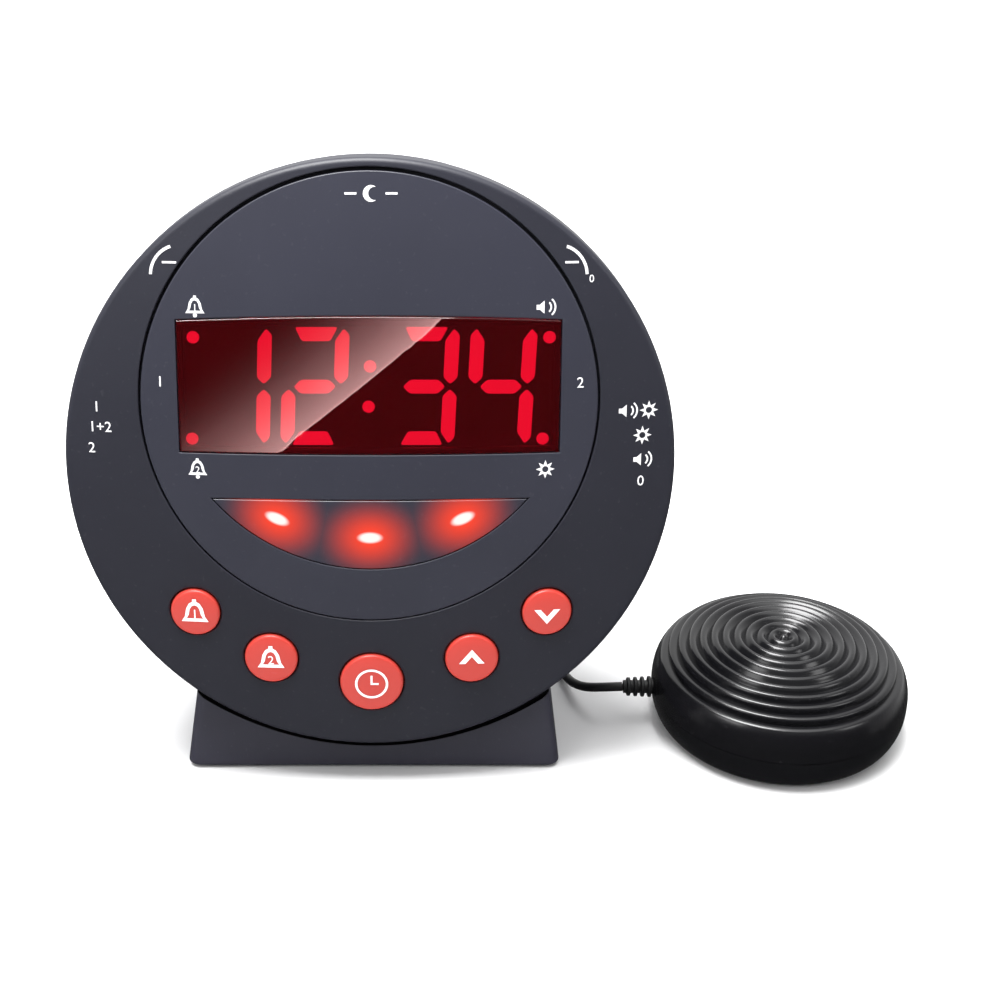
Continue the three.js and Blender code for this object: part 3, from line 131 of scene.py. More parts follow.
# Printed numbers: words, x and z on the face, height
NUMBERS = (
    ("1", -0.0662, 0.0154, 0.0026), ("1+2", -0.0655, 0.0104, 0.0026),
    ("2", -0.0679, 0.0051, 0.0026), ("0", 0.0664, -0.0033, 0.0026),
    ("1", -0.0502, 0.0221, 0.0026), ("2", 0.0508, 0.0218, 0.0026),
    ("1", -0.0412, 0.0400, 0.0017), ("2", -0.0418, 0.0005, 0.0017), ("0", 0.0530, 0.0466, 0.0018),
)

# Softboxes: name, place, aim, size, power
SOFTBOXES = (
    ("overhead softbox", (-0.2, 0.0, 1.1), (0, 0, 0), 0.6, 25.0),
    ("left softbox", (-0.75, -0.62, 0.72), (0, 0, 0.05), 0.45, 2.6),
    ("right softbox", (0.85, -0.45, 0.6), (0, 0, 0.03), 0.35, 1.4),
)


# Values that a user would change


def number(name, default, words, **kind):
    return bpy.props.FloatProperty(name=name, description=words, default=default, **kind)


def length(name, default, words):
    return number(name, default, words, unit="LENGTH", precision=5)


def angle(name, degrees, words):
    return number(name, math.radians(degrees), words, subtype="ANGLE")


def colour(name, default, words):
    return bpy.props.FloatVectorProperty(
        name=name, description=words, default=default, subtype="COLOR", size=3, min=0.0, max=1.0)


class ClockSizes(bpy.types.PropertyGroup):
    """Sizes of the clock."""

    tilt: angle("Lean", 12, "How far the face leans back")
    face_height: length("Face height", 0.086, "Height of the face's centre above the table")
    face_radius: length("Face radius", 0.075, "Radius of the round face")
    dome_rise: length("Dome rise", 0.007, "How far the face bulges")
    rim_depth: length("Rim depth", 0.008, "Depth of the rim band")
    rim_round: length("Rim round", 0.0016, "Rounding of the rim's front edge")
    wall: length("Wall", 0.0024, "Thickness of the mouldings")
    panel_radius: length("Panel radius", 0.0552, "Radius of the face panel")
    panel_up: length("Panel height", 0.0168, "Panel's centre above the face's centre")
    recess_radius: length("Recess radius", 0.0558, "Radius of the recess that holds the panel")
    recess_up: length("Recess height", 0.0171, "Recess's centre above the face's centre")
    lip: length("Lip", 0.0003, "Rounding of the moulded edges")
    window_half: length("Window half width", 0.045891, "Half the width of the display window")
    window_low: length("Window low edge", 0.005, "Window's lower edge above the face's centre")
    window_high: length("Window high edge", 0.0369, "Window's upper corners above the centre")
    window_arch: length("Window arch", 0.0014, "Rise of the window's upper edge")
    lens_half: length("Lens half width", 0.0384, "Half the width of the flash lens")
    lens_top: length("Lens top", -0.0068, "Lens's straight edge from the face's centre")
    lens_drop: length("Lens drop", 0.0177, "Height of the flash lens")
    pane: length("Pane", 0.0012, "Thickness of the window and the lens")
    digit_height: length("Digit height", 0.0292, "Height of the display's digits")
    digit_width: length("Digit width", 0.016, "Width of the display's digits")
    bar: length("Bar", 0.0034, "Thickness of a digit's bar")
    button_proud: length("Button rise", 0.001, "How far the buttons stand out")
    bowl_depth: length("Bowl depth", 0.05, "Depth of the rear housing behind the face")


class ShakerSizes(bpy.types.PropertyGroup):
    """Sizes of the bed shaker."""

    x: length("Place across", 0.0755945, "Centre of the shaker, across")
    y: length("Place back", -0.0051857, "Centre of the shaker, to the back")
    radius: length("Radius", 0.0345, "Radius of the shaker")
    height: length("Height", 0.027, "Height of the shaker")
    seam: length("Seam", 0.01, "Height of the seam between its halves")
    flat: length("Flat", 0.029, "Radius of its flat underside")
    ridge: length("Ridge", 0.0011, "Height of the ridges on top")
    fullness: number("Fullness", 2.8, "How square the shoulder is")
    ridged: number("Ridged share", 0.8, "Share of the top's curve that has rings")
    ridges: bpy.props.IntProperty(name="Ridges", description="Number of rings on top", default=11)


class CordSizes(bpy.types.PropertyGroup):
    """Sizes of the shaker's cord."""

    diameter: length("Diameter", 0.0025, "Diameter of the cord")
    span: length("Length", 1.771, "Length of the cord")
    coil_x: length("Coil across", 0.0050945, "Centre of the coil, across")
    coil_y: length("Coil back", 0.0732143, "Centre of the coil, to the back")
    coil_radius: length("Coil radius", 0.015, "Middle radius of the coil")
    turn_pitch: length("Turn pitch", 0.0034, "Distance between neighbouring turns")
    layer_pitch: length("Layer pitch", 0.0032, "Distance between layers")


class ClockColours(bpy.types.PropertyGroup):
    """Colours of the mouldings, lamps and prints."""

    case: colour("Case", (0.019, 0.0195, 0.030), "Charcoal of the housings")
    panel: colour("Panel", (0.029, 0.030, 0.045), "Charcoal of the face panel")
    stand: colour("Stand", (0.037, 0.036, 0.054), "Charcoal of the stand")
    button: colour("Button", (0.52, 0.042, 0.03), "Coral red of the buttons")
    print: colour("Print", (0.86, 0.86, 0.88), "White of the printed marks")
    filter: colour("Filter", (0.28, 0.013, 0.02), "Dark red of the window")
    display: colour("Display", (0.03, 0.003, 0.002), "Dark face behind the window")
    lamp: colour("Lamp", (1.0, 0.1, 0.42), "Red of the lit bars")
    # The flash red also colours the painted glow on the lens.
    flash: colour("Flash", (1.0, 0.06, 0.025), "Red of the flash lamps")
    shaker: colour("Shaker", (0.005, 0.005, 0.006), "Black of the shaker")
    cord: colour("Cord", (0.012, 0.012, 0.013), "Black of the cord")
    steel: colour("Steel", (0.62, 0.63, 0.65), "Plated steel")
    brass: colour("Brass", (0.72, 0.53, 0.24), "Brass of the weight")
    board: colour("Board", (0.015, 0.11, 0.05), "Green of the circuit board")


class StageLook(bpy.types.PropertyGroup):
    """Floor, light and camera."""

    floor: colour("Floor", (0.92, 0.92, 0.925), "Pale floor")
    lens: number("Lens", 61.5, "Focal length", unit="CAMERA")
    pitch: angle("Pitch", 29.46, "Camera's angle below level")
    shift: number("Shift", 0.081, "Sideways shift of the frame")
    camera: bpy.props.FloatVectorProperty(
        name="Camera", description="Camera's place", default=(-0.0229, -0.3886, 0.2854),
        subtype="XYZ", size=3)


# Shapes


def head_place():
    """Where the leaning head stands: its own frame has Y into the face and Z up the face."""
    sizes = bpy.context.scene.clock_sizes
    return (Matrix.Translation((FACE_X, FACE_Y, sizes.face_height))
            @ Matrix.Rotation(-sizes.tilt, 4, "X"))


def upright(x, y):
    """Turns a spun shape's axis from Y to Z and puts it on a place on the table."""
    return Matrix.Translation((x, y, 0)) @ Matrix.Rotation(math.pi / 2, 4, "X")


def shift(x, z):
    """Moves a shape along the face."""
    return Matrix.Translation((x, 0, z))


def dome_depth(sizes, radius):
    """Depth of the domed face at a distance from its centre."""
    sphere = (sizes.face_radius ** 2 + sizes.dome_rise ** 2) / (2 * sizes.dome_rise)
    return sphere - sizes.dome_rise - math.sqrt(sphere ** 2 - radius ** 2)


def lay_on_face(bm, sizes):
    """Bends what was modelled flat onto the domed face, and leans it back with the head."""
    edge = sizes.face_radius - sizes.rim_round
    for vert in bm.verts:
        vert.co.y += dome_depth(sizes, min(math.hypot(vert.co.x, vert.co.z), edge))
    bmesh.ops.transform(bm, matrix=head_place(), verts=bm.verts)


def rounded(start, corner, end, steps=ROUND_STEPS):
    """Points of a round between two legs of a corner."""
    points = []
    for i in range(steps + 1):
        bend = math.pi / 2 * i / steps
        lead, follow = math.sin(bend), 1 - math.cos(bend)
        points.append(tuple(
            s + (c - s) * lead + (e - c) * follow for s, c, e in zip(start, corner, end)))
    return points


def arc(x, z, radius, start, end, steps):
    """Points along an arc between two angles in degrees."""
    sweep = [math.radians(start + (end - start) * i / steps) for i in range(steps + 1)]
    return [(x + radius * math.cos(a), z + radius * math.sin(a)) for a in sweep]


def circle(x, z, radius, count=SMALL_STEPS):
    """Points round a circle."""
    return arc(x, z, radius, 0, 360, count)[:-1]


def round_cornered(low, high, corner, steps, inset=0.0):
    """Points round a rectangle with round corners."""
    (x0, z0), (x1, z1) = [v + corner for v in low], [v - corner for v in high]
    centres = ((x1, z0, -90), (x1, z1, 0), (x0, z1, 90), (x0, z0, 180))
    return [point for x, z, start in centres
            for point in arc(x, z, corner - inset, start, start + 90, steps)]


def turn(bm, profile, place=None, steps=TURN_STEPS):
    """Spins a profile of (radius, depth) pairs about Y and puts it in its place."""
    before = set(bm.verts)
    verts = [bm.verts.new((radius, depth, 0)) for radius, depth in profile]
    edges = [bm.edges.new(pair) for pair in zip(verts, verts[1:])]
    bmesh.ops.spin(bm, geom=verts + edges, cent=(0, 0, 0), axis=(0, 1, 0), dvec=(0, 0, 0),
                   angle=2 * math.pi, steps=steps, use_merge=True, use_duplicate=False)
    poles = [vert for vert in bm.verts
             if vert not in before and math.hypot(vert.co.x, vert.co.z) < LEVEL]
    bmesh.ops.remove_doubles(bm, verts=poles, dist=MERGE)
    made = [vert for vert in bm.verts if vert not in before]
    if place is not None:
        bmesh.ops.transform(bm, matrix=place, verts=made)
    return made


def plug(bm, radius, front, back, place=None, steps=SMALL_STEPS):
    """Adds a plain round plug between two depths."""
    turn(bm, [(0, front), (radius, front), (radius, back), (0, back)], place, steps)


def stack_rows(bm, rows):
    """Draws a closed row of points and extrudes it through the rows that follow."""
    verts = [bm.verts.new(point) for point in rows[0]]
    edges = [bm.edges.new((verts[i - 1], verts[i])) for i in range(len(verts))]
    first = edges
    for row in rows[1:]:
        made = {item for item in bmesh.ops.extrude_edge_only(bm, edges=edges)["geom"]
                if isinstance(item, bmesh.types.BMVert)}
        above = [next(edge.other_vert(vert) for edge in vert.link_edges
                      if edge.other_vert(vert) in made) for vert in verts]
        for vert, point in zip(above, row):
            vert.co = point
        verts = above
        edges = [bm.edges.get((verts[i - 1], verts[i])) for i in range(len(verts))]
    return first, edges


def stack(bm, outline, steps):
    """Extrudes an outline through steps that each give an inset and a depth along Y."""
    stack_rows(bm, [[(x, depth, z) for x, z in outline(inset)] for inset, depth in steps])


def fill_level(bm, *depths):
    """Fills the open edges that lie at each depth, leaving holes open."""
    for depth in depths:
        edges = [edge for edge in bm.edges if edge.is_boundary
                 and all(abs(vert.co.y - depth) < LEVEL for vert in edge.verts)]
        bmesh.ops.triangle_fill(bm, use_beauty=True, use_dissolve=False, edges=edges)


def slice_at(bm, axis, spots):
    """Cuts a mesh by planes across one axis."""
    for spot in spots:
        place, normal = Vector(), Vector()
        place[axis], normal[axis] = spot + LEVEL, 1.0
        bmesh.ops.bisect_plane(bm, geom=bm.verts[:] + bm.edges[:] + bm.faces[:], dist=2e-5,
                               plane_co=place, plane_no=normal)


def close_on_face(bm, sizes, back, step=FLAT_STEP):
    """Fills the front and the back of a flat shape, and lays it on the face in small pieces."""
    fill_level(bm, 0.0, back)
    count = math.ceil(sizes.face_radius / step)
    for axis in (0, 2):
        slice_at(bm, axis, [i * step for i in range(-count, count + 1)])
    lay_on_face(bm, sizes)


def box_into(bm, low, high, round_off=0.0, segments=2):
    """Adds a box between two corners, its edges rounded."""
    size = [h - l for l, h in zip(low, high)]
    middle = [(h + l) / 2 for l, h in zip(low, high)]
    place = Matrix.Translation(middle) @ Matrix.Diagonal((*size, 1))
    made = bmesh.ops.create_cube(bm, size=1.0, matrix=place)["verts"]
    if round_off:
        edges = list({edge for vert in made for edge in vert.link_edges})
        bmesh.ops.bevel(bm, geom=edges, offset=round_off, offset_type="OFFSET", affect="EDGES",
                        segments=segments, profile=0.5, material=-1, clamp_overlap=True)


def middle_of(node):
    """Middle of a CAD node's box."""
    low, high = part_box(node)
    return (low + high) / 2


def shade(bm, sharp=SHARP):
    """Smooths the faces and keeps the edges hard where they meet at more than an angle."""
    for face in bm.faces:
        face.smooth = True
    for edge in bm.edges:
        edge.smooth = edge.calc_face_angle(0.0) < sharp


def finish_mesh(name, bm, sharp=SHARP):
    """Closes a bmesh into a smooth-shaded object at the origin."""
    bmesh.ops.remove_doubles(bm, verts=bm.verts, dist=MERGE)
    bmesh.ops.dissolve_degenerate(bm, dist=MERGE, edges=bm.edges)
    bmesh.ops.recalc_face_normals(bm, faces=bm.faces)
    shade(bm, sharp)
    mesh = bpy.data.meshes.new(name)
    bm.to_mesh(mesh)
    bm.free()
    piece = bpy.data.objects.new(name, mesh)
    bpy.context.scene.collection.objects.link(piece)
    return piece


def even_shading(piece):
    """Lets the broad faces of a piece lead its shading, so that narrow rounds don't pull it."""
    weighted = piece.modifiers.new("even shading", "WEIGHTED_NORMAL")
    weighted.weight = 90
    weighted.keep_sharp = True
    return piece


def settle(piece, finish, body="base", stands_for=()):
    """Gives a piece its finish and its body, and hides the CAD nodes that it stands for."""
    piece.data.materials.clear()
    piece.data.materials.append(finish)
    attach(piece, body)
    if stands_for:
        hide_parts(*stands_for)
    return piece


def add_piece(name, bm, place, finish, body="base", stands_for=()):
    """Puts a mesh in its place and settles it as a finished piece."""
    bmesh.ops.transform(bm, matrix=place, verts=bm.verts)
    return settle(finish_mesh(name, bm), finish, body, stands_for)


def add_turned(name, profile, steps, place, finish, node):
    """Spins a profile and settles it as a fixed piece that stands for a CAD node."""
    bm = bmesh.new()
    turn(bm, profile, steps=steps)
    return add_piece(name, bm, place, finish, stands_for=(node,))


def cut_away(piece, name, cuts):
    """Cuts a closed mesh out of a piece."""
    cutter = finish_mesh(name, cuts)
    cut = piece.modifiers.new("cut", "BOOLEAN")
    cut.operation = "DIFFERENCE"
    cut.solver = "EXACT"
    cut.object = cutter
    ready = piece.evaluated_get(bpy.context.evaluated_depsgraph_get())
    mesh = bpy.data.meshes.new_from_object(ready)
    piece.modifiers.clear()
    piece.data = mesh
    bpy.data.objects.remove(cutter)
    bm = bmesh.new()
    bm.from_mesh(mesh)
    bmesh.ops.remove_doubles(bm, verts=bm.verts, dist=MERGE)
    shade(bm)
    bm.to_mesh(mesh)
    bm.free()
    mesh.name = piece.name


# Finishes


def feed(tree, node, links):
    """Links a node's inputs to other nodes, or sets them to plain values."""
    for key, source in links.items():
        socket = node.inputs[key]
        if hasattr(source, "is_output"):
            tree.links.new(source, socket)
        else:
            socket.default_value = source


def add_node(tree, kind, links=None, **options):
    """Adds a shader node, sets its options and feeds its inputs."""
    node = tree.nodes.new("ShaderNode" + kind)
    for key, value in options.items():
        setattr(node, key, value)
    feed(tree, node, links or {})
    return node


def maths(tree, operation, *values):
    """Result of a sum on numbers."""
    return add_node(tree, "Math", dict(enumerate(values)), operation=operation).outputs[0]


def vector_maths(tree, operation, links):
    """Result of a sum on vectors."""
    node = add_node(tree, "VectorMath", links, operation=operation)
    return node.outputs["Value" if operation in ("LENGTH", "DOT_PRODUCT") else "Vector"]


def ranged(tree, value, low, high, to_low=0.0, to_high=1.0, ease="LINEAR"):
    """A value moved from one range to another."""
    return add_node(tree, "MapRange", {
        "Value": value, "From Min": low, "From Max": high, "To Min": to_low, "To Max": to_high,
    }, interpolation_type=ease).outputs["Result"]


def blend(tree, factor, first, second):
    """A colour between two others."""
    mix = add_node(tree, "Mix", {"Factor": factor, 6: first, 7: second}, data_type="RGBA")
    return mix.outputs[2]


def noise(tree, vector, scale, **look):
    """Result of a noise texture."""
    links = {"Vector": vector, "Scale": scale}
    links.update((key.capitalize(), value) for key, value in look.items())
    return add_node(tree, "TexNoise", links).outputs["Fac"]


def object_vector(tree):
    """Coordinates on the object, which stands at the origin."""
    return add_node(tree, "TexCoord").outputs["Object"]


def head_vector(tree):
    """Coordinates in the leaning head's own frame."""
    sizes = bpy.context.scene.clock_sizes
    return add_node(tree, "Mapping", {
        "Vector": object_vector(tree), "Location": (FACE_X, FACE_Y, sizes.face_height),
        "Rotation": (-sizes.tilt, 0, 0)}, vector_type="TEXTURE").outputs["Vector"]


def node_group(name, inputs, outputs, draw):
    """A shader node group with named sockets, drawn once."""
    group = bpy.data.node_groups.get(name)
    if group:
        return group
    group = bpy.data.node_groups.new(name, "ShaderNodeTree")
    group.interface.new_socket("Vector", in_out="INPUT", socket_type="NodeSocketVector")
    for label, default in inputs:
        socket = group.interface.new_socket(label, in_out="INPUT", socket_type="NodeSocketFloat")
        socket.default_value = default
    for label in outputs:
        group.interface.new_socket(label, in_out="OUTPUT", socket_type="NodeSocketFloat")
    given, out = group.nodes.new("NodeGroupInput"), group.nodes.new("NodeGroupOutput")
    feed(group, out, dict(zip(outputs, draw(group, *given.outputs[:len(inputs) + 1]))))
    return group


def draw_grain(group, vector, size):
    """Fine spark-eroded grain of a moulding: its height, and a faint mottling."""
    fine = noise(group, vector, size, detail=2.0, roughness=0.6)
    pits = add_node(group, "TexVoronoi", {"Vector": vector, "Scale": size}).outputs["Distance"]
    return maths(group, "MULTIPLY_ADD", fine, pits, 0.2), noise(group, vector, 38.0, detail=3.0)


def draw_marks(group, vector, base, spread):
    """Patches polished by fingers, and a little settled dust."""
    smear = noise(group, vector, 55.0, detail=4.0, distortion=0.6)
    centred = maths(group, "SUBTRACT", smear, 0.5)
    specks = noise(group, vector, 900.0, detail=1.0)
    return maths(group, "MULTIPLY_ADD", centred, spread, base), ranged(group, specks, 0.68, 0.78)


def new_material(name):
    """An empty material, with its nodes and its shader."""
    material = bpy.data.materials.new(name)
    material.use_nodes = True
    return material, *shader_of(material)


def shader_of(material):
    """A material's nodes and its shader."""
    return material.node_tree, material.node_tree.nodes["Principled BSDF"]


def base_colour(shader):
    """What feeds a shader's base colour."""
    return shader.inputs["Base Color"].links[0].from_socket


def plastic(name, tone, rough=0.45, grain=1800.0, bump=0.12, mottle=0.10, dust=0.02, spread=0.08):
    """Moulded plastic: mottled colour, hand-worn gloss and a fine grain."""
    material = bpy.data.materials.get(name)
    if material:
        return material
    material, tree, shader = new_material(name)
    where = object_vector(tree)
    grains = node_group(
        "moulded grain", (("Size", 1800.0),), ("Height", "Mottle"), draw_grain)
    texture = add_node(tree, "Group", {"Vector": where, "Size": grain}, node_tree=grains).outputs
    handling = node_group(
        "handling marks", (("Base", 0.45), ("Spread", 0.08)), ("Roughness", "Dust"), draw_marks)
    marks = add_node(tree, "Group", {"Vector": where, "Base": rough, "Spread": spread},
                     node_tree=handling).outputs
    darker = (*(channel * (1 - mottle) for channel in tone), 1)
    lighter = (*(min(1.0, channel * (1 + mottle)) for channel in tone), 1)
    mottled = blend(tree, texture["Mottle"], darker, lighter)
    settled = maths(tree, "MULTIPLY", marks["Dust"], dust)
    relief = add_node(tree, "Bump", {
        "Height": texture["Height"], "Strength": bump, "Distance": 0.0001})
    feed(tree, shader, {
        "Base Color": blend(tree, settled, mottled, (0.5, 0.5, 0.52, 1)),
        "Roughness": marks["Roughness"], "Normal": relief.outputs["Normal"]})
    return material


def metal(name, tone, rough=0.3):
    """Plated or turned metal with a fine grain."""
    material = plastic(name, tone, rough=rough, grain=900.0, bump=0.05, mottle=0.06, dust=0.0)
    feed(*shader_of(material), {"Metallic": 1.0})
    return material


def glowing(name, tone, strength, rough=0.3):
    """Lit plastic, a little uneven across its face."""
    material = plastic(name, tone, rough=rough, grain=1500.0, bump=0.03, mottle=0.05, dust=0.0)
    tree, shader = shader_of(material)
    feed(tree, shader, {"Emission Color": base_colour(shader), "Emission Strength": strength})
    return material


def filter_glass(name, tone):
    """Polished dark red filter in front of the lamps."""
    material = plastic(name, tone, rough=0.015, grain=700.0, bump=0.0, mottle=0.05, dust=0.01,
                       spread=0.01)
    feed(*shader_of(material), {"Transmission Weight": 0.92, "IOR": 1.46})
    return material


def lens_painted_glow(name, tone, flash):
    """Smoked lens with painted glow: it emits a red halo and a white core round each of the three
    lamps behind it.
    """
    material = plastic(name, tone, rough=0.34, bump=0.05)
    tree, shader = shader_of(material)
    head, shares = head_vector(tree), []
    for wide, far, near in PAINTED_GLOW_SPOTS:
        share = 0.0
        for x, z, lean in FLASHES:
            spot = add_node(tree, "Mapping", {
                "Vector": head, "Location": (x, 0, z), "Rotation": (0, -lean, 0),
                "Scale": (wide, 1000.0, 1.0)}, vector_type="TEXTURE")
            reach = vector_maths(tree, "LENGTH", {0: spot.outputs["Vector"]})
            share = maths(tree, "MAXIMUM", share, ranged(tree, reach, far, near, ease="SMOOTHSTEP"))
        shares.append(share)
    # Painted glow: the lens itself emits the lamps' light as red halos with white cores, and its
    # base colour turns dark red under the halos.
    painted_halo = maths(tree, "POWER", shares[0], 1.6)
    red = vector_maths(tree, "SCALE", {0: tuple(flash), "Scale": painted_halo})
    feed(tree, shader, {
        "Base Color": blend(tree, painted_halo, base_colour(shader), (0.03, 0.003, 0.002, 1)),
        "Emission Color": blend(tree, shares[1], red, (1.0, 0.95, 0.9, 1)),
        "Emission Strength": 1.05})
    return material


def stand_finish(tone):
    """The stand's plastic, with painted shade: near black inside the cradle round the rim, where
    the disc shades it.
    """
    material = plastic("charcoal stand", tone, rough=0.46)
    tree, shader = shader_of(material)
    head = head_vector(tree)
    flat = vector_maths(tree, "MULTIPLY", {0: head, 1: (1, 0, 1)})
    reach = vector_maths(tree, "LENGTH", {0: flat})
    depth = add_node(tree, "SeparateXYZ", {"Vector": head}).outputs["Y"]
    # Painted shade: this mask is zero inside the cradle, where the colour turns near black as the
    # disc's shadow.
    outside_painted_shade = maths(tree, "MAXIMUM",
                 ranged(tree, reach, CRADLE_RADIUS, CRADLE_RADIUS + 0.0002),
                 ranged(tree, depth, CRADLE_DEPTH, CRADLE_DEPTH + 0.0003))
    # Near black painted as shade, not the plastic's own colour.
    painted_shade_black = (0.002, 0.002, 0.0025, 1)
    feed(tree, shader, {"Base Color": blend(tree, outside_painted_shade, painted_shade_black, base_colour(shader))})
    return material


def case_finish():
    return plastic("charcoal case", bpy.context.scene.clock_colours.case, rough=0.46)


def black_finish():
    return plastic("black moulding", bpy.context.scene.clock_colours.shaker, rough=0.42)


# Clock pieces


def window_outline(sizes):
    """Outline function of the display window, arched along its top."""
    def outline(inset):
        half, low = sizes.window_half - inset, sizes.window_low + inset
        high, steps = sizes.window_high - inset, 24
        points = [(-half, low), (half, low)]
        for i in range(steps + 1):
            share = i / steps
            rise = 4 * sizes.window_arch * share * (1 - share)
            points.append((half * (1 - 2 * share), high + rise))
        return points
    return outline


def lens_outline(sizes):
    """Outline function of the flash lens: a chord above, an arc below."""
    radius = (sizes.lens_half ** 2 + sizes.lens_drop ** 2) / (2 * sizes.lens_drop)
    centre = sizes.lens_top - sizes.lens_drop + radius

    def outline(inset):
        bow = radius - inset
        end = math.degrees(math.asin((sizes.lens_top - inset - centre) / bow))
        return arc(0, centre, bow, -180 - end, end, 40)
    return outline


class CLOCK_OT_front_housing(bpy.types.Operator):
    """Make the domed front housing with its panel recess and button wells"""

    bl_idname = "clock.front_housing"
    bl_label = "Front housing"

    def execute(self, context):
        sizes = context.scene.clock_sizes
        bm = bmesh.new()
        outer, edge = sizes.face_radius, sizes.face_radius - sizes.rim_round
        inner, back = outer - sizes.wall, sizes.rim_depth - dome_depth(sizes, edge)
        turn(bm, [*rounded((edge, 0), (outer, 0), (outer, sizes.rim_round), 6),
                  *rounded((outer, back - sizes.lip), (outer, back), (outer - sizes.lip, back)),
                  (inner, back), (inner, sizes.wall)])
        recess, lip, shelf, under = sizes.recess_radius, sizes.lip, 0.0027, 0.0042
        ledge = turn(bm, [
            *rounded((recess + lip, 0), (recess, 0), (recess, lip)), (recess, shelf),
            (recess - 0.005, shelf), (recess - 0.005, under), (recess + 0.003, under),
            (recess + 0.003, sizes.wall)], shift(0, sizes.recess_up))
        for vert in ledge:
            pull = min(1.0, (outer - 0.0012) / math.hypot(vert.co.x, vert.co.z))
            vert.co.x *= pull
            vert.co.z *= pull
        for _, x, z, radius in BUTTONS:
            well, mouth = radius + PLAY, 0.0005
            turn(bm, [*rounded((well + mouth, 0), (well, 0), (well, mouth)), (well, sizes.wall)],
                 shift(x, z), SMALL_STEPS)
        close_on_face(bm, sizes, sizes.wall)
        piece = even_shading(finish_mesh("front_housing_shell", bm))
        settle(piece, case_finish(), stands_for=("front_housing",))
        return {"FINISHED"}


class CLOCK_OT_face_panel(bpy.types.Operator):
    """Make the eccentric face panel with pockets for the window and the lens"""

    bl_idname = "clock.face_panel"
    bl_label = "Face panel"

    def execute(self, context):
        sizes, colours = context.scene.clock_sizes, context.scene.clock_colours
        bm = bmesh.new()
        radius, lip = sizes.panel_radius, sizes.lip
        turn(bm, [*rounded((radius - lip, 0), (radius, 0), (radius, lip)), (radius, sizes.wall)],
             shift(0, sizes.panel_up))
        pocket, play, ledge = sizes.pane + GAP, -0.00025, 0.0012
        for outline in (window_outline(sizes), lens_outline(sizes)):
            stack(bm, outline, [*rounded((2 * play, 0), (play, 0), (play, -play), 3),
                                (play, pocket), (ledge, pocket), (ledge, sizes.wall)])
        close_on_face(bm, sizes, sizes.wall)
        piece = even_shading(finish_mesh("face_panel_disc", bm))
        settle(piece, plastic("charcoal panel", colours.panel, rough=0.4, bump=0.08),
               stands_for=("face_panel",))
        return {"FINISHED"}


def glare_receivers():
    """The collection of the panes that mirror the glare card."""
    name = "glare receivers"
    return bpy.data.collections.get(name) or bpy.data.collections.new(name)


class CLOCK_OT_panes(bpy.types.Operator):
    """Make the red display window and the smoked flash lens"""

    bl_idname = "clock.panes"
    bl_label = "Window and lens"

    def execute(self, context):
        sizes, colours = context.scene.clock_sizes, context.scene.clock_colours
        red = filter_glass("red filter", colours.filter)
        # The lens gets a painted glow round the lamps behind it.
        smoked = lens_painted_glow("smoked lens", colours.panel, colours.flash)
        window = self.make_pane("display_window", window_outline(sizes), red, "filter")
        glare_receivers().objects.link(window)
        self.make_pane("flash_lens", lens_outline(sizes), smoked, "lens")
        return {"FINISHED"}

    def make_pane(self, node, outline, finish, slot):
        sizes, edge = bpy.context.scene.clock_sizes, 0.0003
        bm = bmesh.new()
        stack(bm, outline, [*rounded((edge, 0), (0, 0), (0, edge), 3), (0, sizes.pane)])
        close_on_face(bm, sizes, sizes.pane, FLAT_STEP / 2)
        piece = even_shading(finish_mesh(node + "_pane", bm, math.radians(5)))
        return settle(piece, finish, stands_for=(node,))


def drawn_outline(corners, slant):
    """Outline function of a lit bar from its corners, leaning by a slant."""
    def outline(inset):
        moved = []
        for i, corner in enumerate(corners):
            here = Vector(corner)
            into = (here - Vector(corners[i - 1])).normalized()
            away = (Vector(corners[(i + 1) % len(corners)]) - here).normalized()
            sides = Vector((-into.y - away.y, into.x + away.x))
            spot = here + sides * inset / (1 + into.dot(away))
            moved.append((spot.x + slant * spot.y, spot.y))
        return moved
    return outline


def lamp_outline(x, z):
    """Outline function of a round lamp."""
    return lambda inset: circle(x, z, 0.0015 - inset, 24)


def eased(corners, radius):
    """Corners of a shape, each rounded off by a short curve."""
    points = []
    for i, corner in enumerate(corners):
        here = Vector(corner)
        start = here + (Vector(corners[i - 1]) - here).normalized() * radius
        end = here + (Vector(corners[(i + 1) % len(corners)]) - here).normalized() * radius
        points += [tuple(start), tuple((start + 2 * here + end) / 4), tuple(end)]
    return points


def digit_bars(sizes):
    """Corners of the seven bars of a digit, counter-clockwise, by their usual letters."""
    w, h, t, gap = sizes.digit_width / 2, sizes.digit_height / 2, sizes.bar, 0.0006
    far, near, foot = w - 0.85 * t, w - 1.35 * t, t / 2 + gap
    top = ((-far, h), (-near, h - t), (near, h - t), (far, h))
    side = ((w, h - 0.55 * t), (w - 0.42 * t, h - 0.1 * t), (w - t, h - 0.95 * t),
            (w - t, foot), (w - t / 2, gap), (w, foot))
    across = ((-far, 0), (-near, -t / 2), (near, -t / 2), (far, 0), (near, t / 2), (-near, t / 2))

    def flipped(corners, x, z):
        return [(x * u, z * v) for u, v in reversed(corners)]

    lower = flipped(side, 1, -1)
    bars = {"a": top, "b": side, "c": lower, "d": flipped(top, 1, -1),
            "e": flipped(lower, -1, 1), "f": flipped(side, -1, 1), "g": across}
    return {key: eased(corners, gap) for key, corners in bars.items()}


